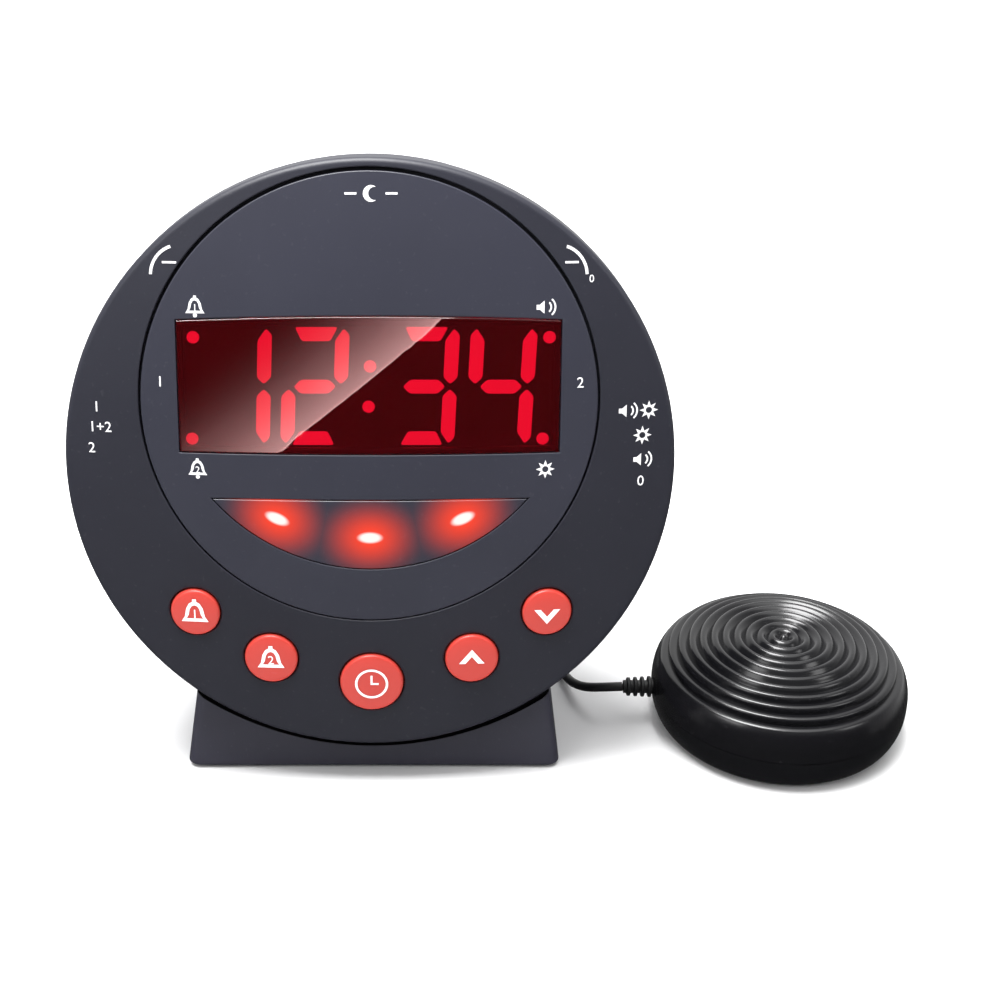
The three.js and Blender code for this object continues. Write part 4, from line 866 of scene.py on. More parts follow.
class CLOCK_OT_display(bpy.types.Operator):
    """Make the display: its dark face, the lit bars, the colon and the corner lamps"""

    bl_idname = "clock.display"
    bl_label = "Display"

    slant: number("Slant", 0.045, "Lean of the digits")

    def execute(self, context):
        sizes, colours = context.scene.clock_sizes, context.scene.clock_colours
        front, low, high, half, edge = -0.0009, 0.0053, 0.0354, 0.04439, 0.0003
        bm = bmesh.new()
        box_into(bm, (-half, front + 0.0004, low), (half, 0.0087, high), 0.0006)
        add_piece("display_face", bm, head_place(),
                  plastic("display face", colours.display, rough=0.5),
                  stands_for=("display_module",))
        bars = digit_bars(sizes)
        outlines = [drawn_outline([(x + u, v) for u, v in bars[key]], self.slant)
                    for x, letters in DIGITS for key in letters]
        spots = [(0, 0.005), (0, -0.005)]
        spots += [(x, z) for x in (-0.0427, 0.0427) for z in (0.01215, -0.013)]
        outlines += [lamp_outline(x + self.slant * z, z) for x, z in spots]
        lit = bmesh.new()
        for outline in outlines:
            stack(lit, outline,
                  [*rounded((edge, front), (0, front), (0, front + edge), 3), (0, 0.0)])
        fill_level(lit, front, 0.0)
        add_piece("display_bars", lit, head_place() @ shift(0, (low + high) / 2),
                  glowing("lit bars", colours.lamp, 3.4))
        return {"FINISHED"}


class CLOCK_OT_buttons(bpy.types.Operator):
    """Make the five round push buttons"""

    bl_idname = "clock.buttons"
    bl_label = "Push buttons"

    def execute(self, context):
        sizes, colours = context.scene.clock_sizes, context.scene.clock_colours
        finish = plastic("coral button", colours.button, rough=0.38, bump=0.05, mottle=0.05)
        top, edge, skirt, back = -sizes.button_proud, 0.0009, 0.0038, 0.0048
        for name, x, z, radius in BUTTONS:
            bm = bmesh.new()
            crown = [(radius * share, top - 0.0004 * (1 - share * share))
                     for share in (0, 0.3, 0.55, 0.75)]
            flange = radius + 0.0013
            turn(bm, [
                *crown, *rounded((radius - edge, top), (radius, top), (radius, top + edge), 5),
                (radius, skirt), (flange, skirt), (flange, back), (0, back)],
                shift(x, z), 72)
            lay_on_face(bm, sizes)
            settle(finish_mesh(name + "_cap", bm), finish, name, (name,))
        return {"FINISHED"}


# Rear housing and its controls


def bowl_curve(sizes, offset=0.0, steps=28):
    """Outer curve of the rear housing from its rim to its flat back, moved outwards."""
    start, rim, back = sizes.rim_depth + GAP, sizes.face_radius - 0.0021, sizes.bowl_depth
    straight, shoulder, flat = 0.018, 0.064, 0.046
    points = ((rim, start), (rim, start + straight), (shoulder, back), (flat, back))
    curve = []
    for i in range(steps + 1):
        t = i / steps
        weights = ((1 - t) ** 3, 3 * t * (1 - t) ** 2, 3 * t * t * (1 - t), t ** 3)
        slopes = (-3 * (1 - t) ** 2, 3 * (1 - t) * (1 - 3 * t), 3 * t * (2 - 3 * t), 3 * t * t)
        r, y, dr, dy = (sum(share * point[axis] for share, point in zip(shares, points))
                        for shares in (weights, slopes) for axis in (0, 1))
        size = math.hypot(dr, dy)
        curve.append((r + offset * dy / size, y - offset * dr / size))
    return curve


def bowl_radius(sizes, depth, offset=0.0):
    """Radius of the rear housing at a depth behind the face."""
    curve = bowl_curve(sizes, offset)
    if depth <= curve[0][1]:
        return curve[0][0]
    for (r0, y0), (r1, y1) in zip(curve, curve[1:]):
        if y1 >= depth:
            return r0 + (r1 - r0) * (depth - y0) / max(y1 - y0, LEVEL)
    return curve[-1][0]


def ring_place(reach, degrees):
    """Shift to a place round the head's axis."""
    bend = math.radians(degrees)
    return shift(reach * math.cos(bend), reach * math.sin(bend))


def wheel_place(sizes, degrees):
    """Shift to a thumbwheel's centre."""
    middle, proud = (WHEEL_FRONT + WHEEL_BACK) / 2, 0.0019
    return ring_place(bowl_radius(sizes, middle) + proud - WHEEL_RADIUS, degrees)


def slot_outline(z, half, side):
    """Outline function of a level slot with round ends."""
    def outline(inset):
        reach, radius = half - side, side - inset
        return arc(reach, z, radius, -90, 90, 10) + arc(-reach, z, radius, 90, 270, 10)
    return outline


class CLOCK_OT_rear_housing(bpy.types.Operator):
    """Make the bowl-shaped rear housing with its grille, slots and screw wells"""

    bl_idname = "clock.rear_housing"
    bl_label = "Rear housing"

    def execute(self, context):
        sizes = context.scene.clock_sizes
        bm = bmesh.new()
        start, depth, edge = sizes.rim_depth + GAP, sizes.bowl_depth, 0.0004
        lip_out, lip_in, lip_front = 0.0723, 0.0705, start - 0.003
        inside = [point for point in bowl_curve(sizes, -sizes.wall) if point[0] < lip_in]
        floor = inside[-1][1]
        turn(bm, [*reversed(bowl_curve(sizes)), (lip_out, start), (lip_out, lip_front),
                  (lip_in, lip_front), (lip_in, start), *inside])
        grille, pitch, slot_half = 0.021, 0.005, 0.0011
        for i in range(-3, 4):
            reach = math.sqrt(grille ** 2 - (i * pitch) ** 2)
            stack(bm, slot_outline(i * pitch, reach, slot_half),
                  [*rounded((-edge, depth), (0, depth), (0, depth - edge), 3), (0, floor)])
        fill_level(bm, depth, floor)
        piece = finish_mesh("rear_housing_bowl", bm)
        cut_away(piece, "rear_cuts", self.openings(sizes))
        piece.data.transform(head_place())
        settle(piece, case_finish(), stands_for=("rear_housing",))
        return {"FINISHED"}

    def openings(self, sizes):
        cuts = bmesh.new()
        half, outside = BAR_HALF + PLAY, 0.09
        box_into(cuts, (-half, BAR_FRONT - PLAY, 0.05), (half, BAR_BACK + PLAY, outside))
        for _, degrees in WHEEL_ANGLES:
            plug(cuts, WHEEL_RADIUS + 2 * PLAY, WHEEL_FRONT - PLAY, WHEEL_BACK + PLAY,
                 wheel_place(sizes, degrees))
        half = KNOB_HALF + PLAY
        for _, side, down, up in SELECTORS:
            near, far = sorted((side * 0.066, side * outside))
            box_into(cuts, (near, KNOB_FRONT - PLAY, -half - down),
                     (far, KNOB_BACK + PLAY, half + up))
        for degrees in SCREW_ANGLES:
            plug(cuts, 0.003, SCREW_SEAT - GAP, outside, ring_place(SCREW_RING, degrees), 32)
        return cuts


def wheel_outline(teeth=24, tooth=0.0006, count=192):
    """Outline function of a toothed wheel."""
    def outline(inset):
        points = []
        for i in range(count):
            bend = 2 * math.pi * i / count
            reach = WHEEL_RADIUS - inset - tooth / 2 * (1 - math.cos(teeth * bend))
            points.append((reach * math.cos(bend), reach * math.sin(bend)))
        return points
    return outline


class CLOCK_OT_controls(bpy.types.Operator):
    """Make the snooze bar, the two thumbwheels and the two slide selectors"""

    bl_idname = "clock.controls"
    bl_label = "Rear controls"

    def execute(self, context):
        sizes = context.scene.clock_sizes
        self.make_snooze_bar(sizes, context.scene.clock_colours)
        self.make_wheels(sizes)
        self.make_selectors(sizes)
        return {"FINISHED"}

    def make_snooze_bar(self, sizes, colours):
        bm = bmesh.new()
        box_into(bm, (-BAR_HALF, BAR_FRONT, -0.012), (BAR_HALF, BAR_BACK, 0.0), 0.0011, 3)
        pitch, rib, rib_half = 0.002, 0.0005, 0.019
        for i in range(2, 7):
            y = BAR_FRONT + i * pitch
            box_into(bm, (-rib_half, y - rib, -0.001), (rib_half, y + rib, 0.0004), 0.0002)
        slice_at(bm, 0, [i * pitch for i in range(-13, 14)])
        slice_at(bm, 1, [BAR_FRONT + i * pitch for i in range(1, 8)])
        for vert in bm.verts:
            reach = bowl_radius(sizes, vert.co.y, 0.0014)
            vert.co.z += math.sqrt(reach ** 2 - vert.co.x ** 2)
        add_piece("snooze_bar_cap", bm, head_place(),
                  plastic("charcoal bar", colours.panel, rough=0.42), "snooze_bar",
                  ("snooze_bar",))

    def make_wheels(self, sizes):
        front, back, edge = WHEEL_FRONT, WHEEL_BACK, 0.0005
        for name, degrees in WHEEL_ANGLES:
            bm = bmesh.new()
            stack(bm, wheel_outline(),
                  [(edge, front), (0, front + edge), (0, back - edge), (edge, back)])
            fill_level(bm, front, back)
            add_piece(name + "_knurl", bm, head_place() @ wheel_place(sizes, degrees),
                      black_finish(), name, (name,))

    def make_selectors(self, sizes):
        outer = bowl_radius(sizes, (KNOB_FRONT + KNOB_BACK) / 2) + 0.0024
        root, base, top, rib = outer - 0.0124, outer - 0.002, outer - 0.0005, 0.0004
        for name, side, _, _ in SELECTORS:
            bm = bmesh.new()
            box_into(bm, (root, KNOB_FRONT, -KNOB_HALF), (top, KNOB_BACK, KNOB_HALF), 0.0004)
            for z in (-0.0015, 0, 0.0015):
                box_into(bm, (base, KNOB_FRONT + GAP, z - rib), (outer, KNOB_BACK - GAP, z + rib),
                         0.00025)
            add_piece(name + "_knob", bm, head_place() @ Matrix.Diagonal((side, 1, 1, 1)),
                      black_finish(), name, (name,))


def cross_outline(half, arm):
    """Outline function of a cross-shaped driver recess."""
    def outline(inset):
        reach, side = half - inset, arm - inset
        quarter = [(reach, -side), (reach, side), (side, side)]
        points = []
        for _ in range(4):
            points += quarter
            quarter = [(-z, x) for x, z in quarter]
        return points
    return outline


class CLOCK_OT_screws(bpy.types.Operator):
    """Make the four cross-head housing screws"""

    bl_idname = "clock.screws"
    bl_label = "Housing screws"

    def execute(self, context):
        finish = metal("plated steel", context.scene.clock_colours.steel)
        head, shank, edge = 0.0025, 0.00125, 0.0005
        top, seat, tip, floor = 0.017, SCREW_SEAT, 0.007, 0.0162
        for i, degrees in enumerate(SCREW_ANGLES, 1):
            bm = bmesh.new()
            turn(bm, [*rounded((head - edge, top), (head, top), (head, top - edge)), (head, seat),
                      (shank, seat), (shank, tip), (0, tip)], steps=32)
            stack(bm, cross_outline(0.0014, 0.0003), [(0, top), (0.0001, floor)])
            fill_level(bm, top, floor)
            add_piece(f"housing_screw_{i}_head", bm, head_place() @ ring_place(SCREW_RING, degrees),
                      finish, stands_for=(f"housing_screw_{i}",))
        return {"FINISHED"}


# Stand


class CLOCK_OT_stand(bpy.types.Operator):
    """Make the stand with its sockets, and its rubber feet"""

    bl_idname = "clock.stand"
    bl_label = "Stand"

    def execute(self, context):
        sizes, colours = context.scene.clock_sizes, context.scene.clock_colours
        self.make_stand(sizes, colours)
        self.make_sockets()
        self.make_feet(colours)
        return {"FINISHED"}

    def make_stand(self, sizes, colours):
        low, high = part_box("stand")
        front, back, half = low.y, high.y, (high.x - low.x) / 2
        lean, tilt = math.tan(math.radians(8.6)), math.tan(sizes.tilt)
        foot = rounded((0.0008, low.z), (0, low.z), (0, low.z + 0.0008))
        brow = rounded((0, high.z - 0.0012), (0, high.z), (0.0012, high.z))
        steps = [(sizes.wall, 0.009), (sizes.wall, low.z), *foot, (0, 0.02), (0, 0.03), *brow]
        rows = []
        for inset, z in steps:
            rise, row = z - low.z, []
            for x, y in round_cornered((inset - half, front + inset), (half - inset, back - inset),
                                       0.003, 7):
                share = (back - y) / (back - front)
                row.append((FACE_X + x * (1 - rise * lean / half), y + share * rise * tilt, z))
            rows.append(row)
        bm = bmesh.new()
        for loop in stack_rows(bm, rows):
            bmesh.ops.contextual_create(bm, geom=loop)
        piece = finish_mesh("stand_block", bm)
        cuts = bmesh.new()
        turn(cuts, [(0, 0.0), (0.0732, 0.0), *bowl_curve(sizes, GAP), (0, sizes.bowl_depth + GAP)],
             head_place())
        cut_away(piece, "bowl_cut", cuts)
        cuts = bmesh.new()
        plug(cuts, CRADLE_RADIUS, 0.002, CRADLE_DEPTH, head_place(), TURN_STEPS)
        cut_away(piece, "cradle_cut", cuts)
        cuts = bmesh.new()
        for node in ("supply_jack", "shaker_jack"):
            spot = (middle_of(node).x, back - 0.004, 0.014)
            plug(cuts, 0.0042, 0, 0.008, Matrix.Translation(spot))
        door_low, door_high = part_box("battery_door")
        box_into(cuts, (door_low.x - GAP, 0.03, -0.001),
                 (door_high.x + GAP, 0.05, door_high.z + GAP))
        cut_away(piece, "stand_cuts", cuts)
        settle(piece, stand_finish(colours.stand), stands_for=("stand",))

    def make_sockets(self):
        for node, pin in (("supply_jack", True), ("shaker_jack", False)):
            back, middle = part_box(node)[1].y, middle_of(node)
            bm = bmesh.new()
            bore, rim, floor, end = 0.003, 0.0039, back - 0.01, back - 0.0135
            turn(bm, [(0, floor), (bore, floor),
                      *rounded((bore, back - 0.0005), (bore, back), (bore + 0.0005, back)),
                      *rounded((rim - GAP, back), (rim, back), (rim, back - GAP)),
                      (rim, end), (0, end)], steps=SMALL_STEPS)
            if pin:
                wide, root, tip, edge = 0.001, back - 0.0105, back - 0.0024, 0.0005
                turn(bm, [(0, root), (wide, root),
                          *rounded((wide, tip - edge), (wide, tip), (wide - edge, tip)), (0, tip)],
                     steps=24)
            add_piece(node + "_socket", bm, shift(middle.x, middle.z), black_finish(),
                      stands_for=(node,))

    def make_feet(self, colours):
        finish = plastic("foot rubber", colours.cord, rough=0.75, bump=0.2)
        for node in ("foot_1", "foot_2", "foot_3", "foot_4"):
            (low, high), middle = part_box(node), middle_of(node)
            radius, top, edge = (high.x - low.x) / 2, high.z, 0.0004
            profile = [(0, 0.0002), (radius - 0.001, 0.0),
                       *rounded((radius - edge, 0), (radius, 0), (radius, edge)),
                       (radius, top), (0, top)]
            add_turned(node + "_pad", profile, SMALL_STEPS, upright(middle.x, middle.y), finish,
                       node)


# Bed shaker


def crown_points(shaker, inset, count=400):
    """Full-shouldered dome from its top down to the seam, and the way along it."""
    power, rise = 2 / shaker.fullness, shaker.height - shaker.seam - inset
    raw, along = [], [0.0]
    for i in range(count + 1):
        bend = math.pi / 2 * i / count
        raw.append(((shaker.radius - inset) * math.sin(bend) ** power,
                    shaker.seam + rise * max(0.0, math.cos(bend)) ** power))
    for a, b in zip(raw, raw[1:]):
        along.append(along[-1] + math.dist(a, b))
    return raw, along


def crown_at(raw, along, share, lift=0.0):
    """Point on the dome at a share of its length, lifted off it."""
    target, last = share * along[-1], len(along) - 1
    i = max(1, next((k for k, way in enumerate(along) if way >= target), last))
    part = (target - along[i - 1]) / max(along[i] - along[i - 1], 1e-12)
    (r0, z0), (r1, z1) = raw[i - 1], raw[i]
    lift /= math.hypot(r1 - r0, z1 - z0)
    return r0 + (r1 - r0) * part - lift * (z1 - z0), z0 + (z1 - z0) * part + lift * (r1 - r0)


class CLOCK_OT_shaker(bpy.types.Operator):
    """Make the bed shaker: ridged top, smooth bottom and ribbed strain relief"""

    bl_idname = "clock.shaker"
    bl_label = "Bed shaker"

    steps: bpy.props.IntProperty(name="Steps", description="Points across one ridge", default=12)
    wall: length("Wall", 0.0022, "Thickness of the shaker's mouldings")

    def execute(self, context):
        shaker, colours = context.scene.shaker_sizes, context.scene.clock_colours
        finish = plastic("shaker black", colours.shaker, rough=0.21, bump=0.03, spread=0.05)
        self.make_top(shaker, finish)
        self.make_bottom(shaker, finish)
        self.make_relief(shaker, plastic("cord rubber", colours.cord, rough=0.55))
        return {"FINISHED"}

    def make_top(self, shaker, finish):
        crown, ridge, radius = crown_points(shaker, shaker.ridge), shaker.ridge, shaker.radius
        count, low, edge = shaker.ridges * self.steps, shaker.seam + 0.0001, 0.0002
        profile = [(0, shaker.height)]
        for i in range(1, count + 1):
            lift = ridge * (0.5 + 0.5 * math.cos(2 * math.pi * i / self.steps)) ** 0.6
            profile.append(crown_at(*crown, shaker.ridged * i / count, lift))
        for i in range(1, 16):
            share = shaker.ridged + (1 - shaker.ridged) * i / 16
            profile.append(crown_at(*crown, share, ridge))
        profile += rounded((radius, low + edge), (radius, low), (radius - edge, low), 3)
        inset = ridge + self.wall
        ceiling = crown_points(shaker, inset)
        profile.append((radius - inset, low))
        profile += [crown_at(*ceiling, 1 - i / 16) for i in range(1, 16)]
        profile.append((0, shaker.height - inset))
        add_turned("shaker_top_ridged", profile, TURN_STEPS, upright(shaker.x, shaker.y), finish,
                   "shaker_top")

    def make_bottom(self, shaker, finish):
        side, wall = shaker.radius - shaker.flat, self.wall
        curve = [(shaker.flat + side * math.sin(a), shaker.seam * (1 - math.cos(a)))
                 for a in (math.pi / 2 * i / 12 for i in range(13))]
        profile = [(0, 0.0), (shaker.flat - 0.002, 0.0), *curve,
                   (shaker.radius - wall, shaker.seam), (shaker.flat, wall), (0, wall)]
        add_turned("shaker_bottom_shell", profile, TURN_STEPS, upright(shaker.x, shaker.y), finish,
                   "shaker_bottom")

    def make_relief(self, shaker, finish):
        root, neck, end, edge = 0.002, 0.0018, 0.0079, 0.0003
        profile = [(0, -self.wall), (root, -self.wall), (root, edge)]
        for i in range(4):
            start, wide = edge + i * 0.0019, 0.0029 - 0.00012 * i
            stop = start + 0.0011
            profile += rounded((root, start), (wide, start), (wide, start + edge), 3)
            profile += rounded((wide, stop - edge), (wide, stop), (neck, stop), 3)
            profile.append((neck, start + 0.0019))
        profile += [(neck, end), (0, end)]
        place = (Matrix.Translation((shaker.x - shaker.radius, shaker.y, shaker.seam))
                 @ Matrix.Rotation(math.pi / 2, 4, "Z"))
        add_turned("strain_relief_ribbed", profile, SMALL_STEPS, place, finish,
                   "shaker_strain_relief")


# Cord


def lead_route(spots):
    """Points of a free stretch of the cord, in metres."""
    return [(round(FACE_X + x / 1000, 7), round(FACE_Y + y / 1000, 7), z / 1000)
            for x, y, z in spots]


def coil_route(cord):
    """Points of the coil: wound inwards and outwards by turns, one layer above the other."""
    layers, layer_turns, climb_turns = 4, 3.9375, 0.5
    stage, width = layer_turns + climb_turns, cord.turn_pitch * layer_turns / 2
    low = 0.0011 + cord.diameter / 2
    total = layers * stage - climb_turns
    count = round(total * 16)
    points = []
    for i in range(count + 1):
        turns = total * i / count
        layer = min(int(turns / stage), layers - 1)
        within = turns - layer * stage
        share = max(0.0, min(1.0, (within - layer_turns) / climb_turns))
        climb = share * share * (3 - 2 * share)
        wound = width - min(within, layer_turns) * cord.turn_pitch
        reach = cord.coil_radius + (wound if layer % 2 == 0 else -wound)
        bend = 2 * math.pi * turns
        points.append((cord.coil_x + reach * math.cos(bend), cord.coil_y + reach * math.sin(bend),
                       low + cord.layer_pitch * (layer + climb)))
    return points


class CLOCK_OT_cord(bpy.types.Operator):
    """Lay the cord from the shaker through its coil to the plug, with its tie"""

    bl_idname = "clock.cord"
    bl_label = "Cord"

    def execute(self, context):
        cord, colours = context.scene.cord_sizes, context.scene.clock_colours
        finish = plastic("cord sheath", colours.cord, rough=0.5, bump=0.06)
        ends = [self.make_plug(cord), self.make_tie(colours)]
        route = lead_route(SHAKER_LEAD) + coil_route(cord) + lead_route(CLOCK_LEAD)
        line = bpy.data.curves.new("cord_run", "CURVE")
        line.dimensions = "3D"
        line.bevel_depth = cord.diameter / 2
        line.bevel_resolution = line.resolution_u = 5
        line.use_fill_caps = True
        spline = line.splines.new("BEZIER")
        spline.bezier_points.add(len(route) - 1)
        for spot, place in zip(spline.bezier_points, route):
            spot.co = place
            spot.handle_left_type = spot.handle_right_type = "AUTO"
        run = bpy.data.objects.new("cord_run", line)
        context.scene.collection.objects.link(run)
        settle(run, finish, stands_for=("cord_clock_lead", "cord_coil", "cord_shaker_lead"))
        return {"FINISHED"}

    def make_plug(self, cord):
        jack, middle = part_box("shaker_jack")[1].y, middle_of("shaker_plug")
        seat, tail = jack + GAP, cord.diameter / 2 + 0.0009
        end, grip, groove, neck = seat + 0.017, 0.0046, 0.0043, 0.0031
        profile = [
            (0, jack - 0.0097), (0.002, jack - 0.0097), (0.0026, jack - 0.009), (0.0026, seat),
            *rounded((grip - 0.0006, seat), (grip, seat), (grip, seat + 0.0006))]
        for i in range(5):
            start = seat + 0.004 + i * 0.002
            profile += [(grip, start), (groove, start + 0.0003), (groove, start + 0.0009),
                        (grip, start + 0.0012)]
        profile += [*rounded((grip, end - 0.0008), (grip, end), (grip - 0.0008, end)), (neck, end)]
        for i in range(4):
            wide, start = neck + (tail - neck) * i / 4, end + 0.0005 + i * 0.0021
            profile += [(wide, start), (wide, start + 0.0012), (wide - 0.0005, start + 0.0014),
                        (wide - 0.0005, start + 0.0019)]
        profile += [(tail, end + 0.0088), (tail, end + 0.009), (0, end + 0.009)]
        return add_turned("shaker_plug_body", profile, SMALL_STEPS, shift(middle.x, middle.z),
                          black_finish(), "shaker_plug")

    def make_tie(self, colours):
        low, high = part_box("cord_tie")
        thick, edge, near, far = 0.0008, 0.0003, low.x, high.x
        steps = [(0, near + edge), (0, far - edge), (edge, far), (thick - edge, far),
                 (thick, far - edge), (thick, near + edge), (thick - edge, near), (edge, near)]
        bm = bmesh.new()
        stack_rows(bm, [[(x, y, z) for y, z in round_cornered(
            (low.y, low.z), (high.y, high.z), 0.0022, 6, inset)] for inset, x in steps + steps[:1]])
        finish = plastic("tie strap", colours.cord, rough=0.6, bump=0.25)
        return settle(finish_mesh("cord_tie_strap", bm), finish, stands_for=("cord_tie",))


# Printed marks


def shape(x, z, scale, points):
    """Points of a small drawn shape."""
    return [(x + scale * u, z + scale * v) for u, v in points]


def band(x, z, radius, thick, start, end):
    """Points of a thin arc."""
    return arc(x, z, radius, start, end, 16) + arc(x, z, radius - thick, end, start, 16)


def crescent(x, z, radius):
    """Points of a crescent moon."""
    bite = arc(x + 0.45 * radius, z, 0.8 * radius, 290, 70, 20)
    return arc(x, z, radius, 60, 300, 20) + bite[1:-1]


def dash(x, z, width):
    """Points of a short line."""
    thick = 0.0005
    return shape(x, z, 0.5, ((-width, -thick), (width, -thick), (width, thick), (-width, thick)))


def star(x, z, radius):
    """Points of the burst that marks the shaker."""
    return [point for pair in zip(circle(x, z, radius, 16)[::2],
                                  circle(x, z, radius / 2, 16)[1::2]) for point in pair]


def print_shapes(bm, shapes, depth):
    """Adds thin printed shapes, where a shape inside another one is a hole."""
    for points in shapes:
        stack_rows(bm, [[(x, y, z) for x, z in points] for y in (depth - PRINT, depth)])
    fill_level(bm, depth - PRINT, depth)


def add_number(bm, words, x, z, height, depth):
    """Adds a printed number, centred on its place."""
    text = bpy.data.curves.new("number", "FONT")
    text.body = words
    text.size = height * 1.4
    text.align_x = text.align_y = "CENTER"
    text.resolution_u = 3
    holder = bpy.data.objects.new("number", text)
    bpy.context.scene.collection.objects.link(holder)
    ready = holder.evaluated_get(bpy.context.evaluated_depsgraph_get())
    mesh = bpy.data.meshes.new_from_object(ready)
    bpy.data.objects.remove(holder)
    made = bmesh.new()
    made.from_mesh(mesh)
    place = Matrix.Translation((x, depth, z)) @ Matrix.Rotation(math.pi / 2, 4, "X")
    bmesh.ops.transform(made, matrix=place, verts=made.verts)
    bmesh.ops.remove_doubles(made, verts=made.verts, dist=1e-7)
    raised = bmesh.ops.extrude_face_region(made, geom=made.faces[:])["geom"]
    bmesh.ops.translate(made, vec=(0, -PRINT, 0),
                        verts=[item for item in raised if isinstance(item, bmesh.types.BMVert)])
    made.to_mesh(mesh)
    made.free()
    bm.from_mesh(mesh)
    bpy.data.meshes.remove(mesh)


class CLOCK_OT_marks(bpy.types.Operator):
    """Print the marks on the face and on the buttons"""

    bl_idname = "clock.marks"
    bl_label = "Printed marks"

    def execute(self, context):
        sizes, colours = context.scene.clock_sizes, context.scene.clock_colours
        finish = plastic("white print", colours.print, rough=0.5, bump=0.02, mottle=0.04, dust=0.0)
        bm = bmesh.new()
        print_shapes(bm, self.panel_shapes(), PRINT_DEPTH)
        for words, x, z, height in NUMBERS:
            add_number(bm, words, x, z, height, PRINT_DEPTH)
        lay_on_face(bm, sizes)
        settle(finish_mesh("face_marks", bm), finish)
        self.button_marks(sizes, finish)
        return {"FINISHED"}

    def panel_shapes(self):
        shapes = []
        for x, z in ((-0.0412, 0.0404), (-0.0418, 0.0009)):
            shapes += [shape(x, z, 0.0023, BELL), shape(x, z, 0.0023, BELL_INSIDE),
                       circle(x, z - 0.0021, 0.0005, 12)]
        for x, z in ((0.0423, 0.0402), (0.0628, 0.0146), (0.0668, 0.0023)):
            shapes += [shape(x - 0.0006, z, 0.0018, HORN),
                       band(x - 0.0003, z, 0.0016, 0.0004, -50, 50),
                       band(x - 0.0003, z, 0.0026, 0.0004, -50, 50)]
        for x, z in ((0.0427, 0.0007), (0.0678, 0.0146), (0.0664, 0.0084)):
            shapes += [star(x, z, 0.0023), circle(x, z, 0.0008, 12)]
        return shapes + [
            band(-0.0445, 0.0475, 0.0075, 0.0007, 108, 178),
            band(0.0447, 0.0475, 0.0075, 0.0007, 2, 72),
            dash(-0.0471, 0.0506, 0.0034), dash(0.0482, 0.0506, 0.0032),
            crescent(0.0008, 0.0668, 0.0019),
            dash(-0.0040, 0.0668, 0.0028), dash(0.0056, 0.0668, 0.0028)]

    def button_marks(self, sizes, finish):
        bell = ((0.0034, BELL), (0.0034, BELL_INSIDE))
        ring = circle(0, 0, 1, 40)
        hands = ((0.0042, ring), (0.0036, ring), (0.001, HANDS))
        up, down = ((0.0036, ARROW_UP),), ((0.0036, [(u, -v) for u, v in ARROW_UP]),)
        signs = ((bell, "1"), (bell, "2"), (hands, ""), (up, ""), (down, ""))
        top = -sizes.button_proud - 0.0004
        for (name, x, z, _), (drawn, words) in zip(BUTTONS, signs):
            bm = bmesh.new()
            lift = 0.0002 if words else 0.0
            print_shapes(bm, [shape(x, z + lift, *sign) for sign in drawn], top)
            if words:
                add_number(bm, words, x, z - lift, 0.0024, top)
            lay_on_face(bm, sizes)
            settle(finish_mesh(name + "_mark", bm), finish, name)


class CLOCK_OT_inner_parts(bpy.types.Operator):
    """Finish the CAD parts that stay as they are"""

    bl_idname = "clock.inner_parts"
    bl_label = "Inner parts"

    def execute(self, context):
        colours = context.scene.clock_colours
        steel, black = metal("plated steel", colours.steel), black_finish()
        finishes = {
            "main_board": plastic("board green", colours.board, rough=0.4, grain=600.0),
            "speaker_cone": plastic("paper cone", (0.02, 0.02, 0.02), rough=0.85, grain=500.0,
                                    bump=0.3),
            "eccentric_weight": metal("turned brass", colours.brass),
            "base_plate": case_finish(),
            "battery_door": case_finish(),
            "motor_cradle": black,
        }
        for name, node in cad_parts.items():
            if node.hide_render:
                continue
            finish = finishes.get(name, steel)
            if name.startswith("flash_lamp"):
                finish = glowing("flash lamp", colours.flash, 1.0)
            elif name.endswith("_switch") and "selector" not in name:
                finish = black
            node.data.materials.clear()
            node.data.materials.append(finish)
        return {"FINISHED"}


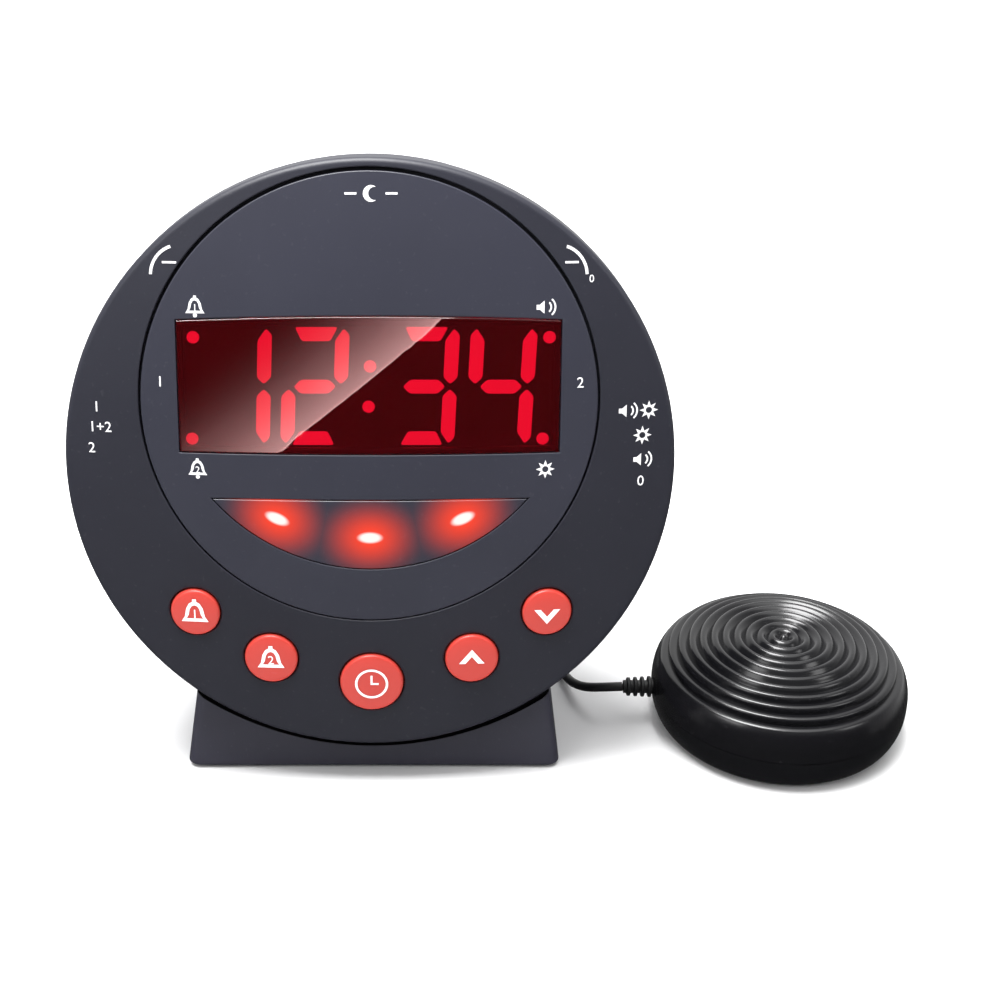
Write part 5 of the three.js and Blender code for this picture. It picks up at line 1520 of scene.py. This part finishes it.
class CLOCK_OT_stage(bpy.types.Operator):
    """Set up the pale floor, the soft light and the camera"""

    bl_idname = "clock.stage"
    bl_label = "Stage"

    def execute(self, context):
        scene, look = context.scene, context.scene.stage_look
        scene.view_settings.view_transform = "Standard"
        self.make_floor(look)
        self.make_card("dark flag", -0.86, (0, 0, 0),
                       ((-2.5, -1.6), (2.5, -1.6), (2.5, 0.42), (-2.5, 0.42)))
        glare = self.make_card("glare card", -0.819, (13.0, 7.6, 7.4),
                               ((0.085, 0.298), (-0.42, 0.298), (-0.42, 0.04), (-0.23, 0.04)))
        glare.light_linking.receiver_collection = glare_receivers()
        self.make_world(scene)
        self.make_softboxes(scene)
        lens = bpy.data.cameras.new("camera")
        lens.lens = look.lens
        lens.sensor_width = 36.0
        lens.shift_x = look.shift
        lens.clip_start = 0.01
        camera = bpy.data.objects.new("camera", lens)
        camera.location = look.camera
        camera.rotation_euler = (math.pi / 2 - look.pitch, 0, 0)
        scene.collection.objects.link(camera)
        scene.camera = camera
        return {"FINISHED"}

    def make_floor(self, look):
        bm = bmesh.new()
        bmesh.ops.create_grid(bm, x_segments=2, y_segments=2, size=8.0)
        floor = finish_mesh("floor", bm)
        material, tree, shader = new_material("pale floor")
        lighter = (*(channel * 1.02 for channel in look.floor), 1)
        tone = noise(tree, object_vector(tree), 3.0)
        feed(tree, shader, {
            "Base Color": blend(tree, tone, (*look.floor, 1), lighter), "Roughness": 0.6})
        floor.data.materials.append(material)
        floor.visible_glossy = False

    def make_card(self, name, y, tone, corners):
        """A card that only the glossy surfaces see, brightest along its slanting edge."""
        bm = bmesh.new()
        bmesh.ops.contextual_create(bm, geom=[bm.verts.new((x, y, z)) for x, z in corners])
        card = finish_mesh(name, bm)
        material, tree, shader = new_material(name)
        across = vector_maths(
            tree, "DOT_PRODUCT", {0: object_vector(tree), 1: (-0.6334, 0, 0.7736)})
        fade = maths(tree, "POWER", ranged(tree, across, 0.396, 0.176), 3.3)
        bright = maths(tree, "ADD", fade, ranged(tree, across, 0.180, 0.177, to_high=0.8))
        feed(tree, shader, {
            "Base Color": (0, 0, 0, 1), "Specular IOR Level": 0.0, "Emission Strength": 1.0,
            "Emission Color": vector_maths(tree, "SCALE", {0: tone, "Scale": bright})})
        card.data.materials.append(material)
        card.visible_camera = card.visible_diffuse = False
        card.visible_shadow = card.visible_transmission = False
        return card

    def make_world(self, scene):
        """Pale surroundings, brighter behind and above, and white where the camera sees them."""
        scene.world = bpy.data.worlds.new("studio")
        scene.world.use_nodes = True
        tree = scene.world.node_tree
        around = add_node(tree, "TexCoord").outputs["Generated"]
        split = add_node(tree, "SeparateXYZ", {"Vector": around}).outputs
        back = ranged(tree, split["Y"], -0.1, 0.8, 0.28, 1.3)
        crown = ranged(tree, split["Z"], 0.8, 0.95, to_high=2.0, ease="SMOOTHSTEP")
        level = ranged(tree, split["Z"], -0.35, -0.12, to_low=0.05)
        sky = maths(tree, "MULTIPLY", maths(tree, "ADD", back, crown), level)
        seen = add_node(tree, "LightPath").outputs["Is Camera Ray"]
        feed(tree, tree.nodes["Background"], {
            "Color": (1, 1, 1, 1), "Strength": maths(tree, "MAXIMUM", sky, seen)})

    def make_softboxes(self, scene):
        for name, place, aim, size, power in SOFTBOXES:
            light = bpy.data.lights.new(name, "AREA")
            light.shape = "SQUARE"
            light.size = size
            light.energy = power
            lamp = bpy.data.objects.new(name, light)
            lamp.location = place
            lamp.rotation_euler = (Vector(aim) - Vector(place)).to_track_quat("-Z", "Y").to_euler()
            scene.collection.objects.link(lamp)


class CLOCK_PT_panel(bpy.types.Panel):
    """Lists the clock's pieces in the sidebar"""

    bl_idname = "CLOCK_PT_panel"
    bl_label = "Alarm clock"
    bl_space_type = "VIEW_3D"
    bl_region_type = "UI"
    bl_category = "Clock"

    def draw(self, context):
        for operator in OPERATORS:
            self.layout.operator(operator.bl_idname)


GROUPS = (
    ("clock_sizes", ClockSizes),
    ("shaker_sizes", ShakerSizes),
    ("cord_sizes", CordSizes),
    ("clock_colours", ClockColours),
    ("stage_look", StageLook),
)
OPERATORS = (
    CLOCK_OT_stage,
    CLOCK_OT_cord,
    CLOCK_OT_front_housing,
    CLOCK_OT_face_panel,
    CLOCK_OT_panes,
    CLOCK_OT_display,
    CLOCK_OT_buttons,
    CLOCK_OT_marks,
    CLOCK_OT_rear_housing,
    CLOCK_OT_controls,
    CLOCK_OT_screws,
    CLOCK_OT_stand,
    CLOCK_OT_shaker,
    CLOCK_OT_inner_parts,
)


def register():
    for name, group in GROUPS:
        bpy.utils.register_class(group)
        setattr(bpy.types.Scene, name, bpy.props.PointerProperty(type=group))
    for operator in OPERATORS:
        bpy.utils.register_class(operator)
    bpy.utils.register_class(CLOCK_PT_panel)


def unregister():
    bpy.utils.unregister_class(CLOCK_PT_panel)
    for operator in reversed(OPERATORS):
        bpy.utils.unregister_class(operator)
    for name, group in reversed(GROUPS):
        delattr(bpy.types.Scene, name)
        bpy.utils.unregister_class(group)


def main():
    register()
    for operator in OPERATORS:
        family, action = operator.bl_idname.split(".")
        getattr(getattr(bpy.ops, family), action)()


if __name__ == "__main__":
    main()
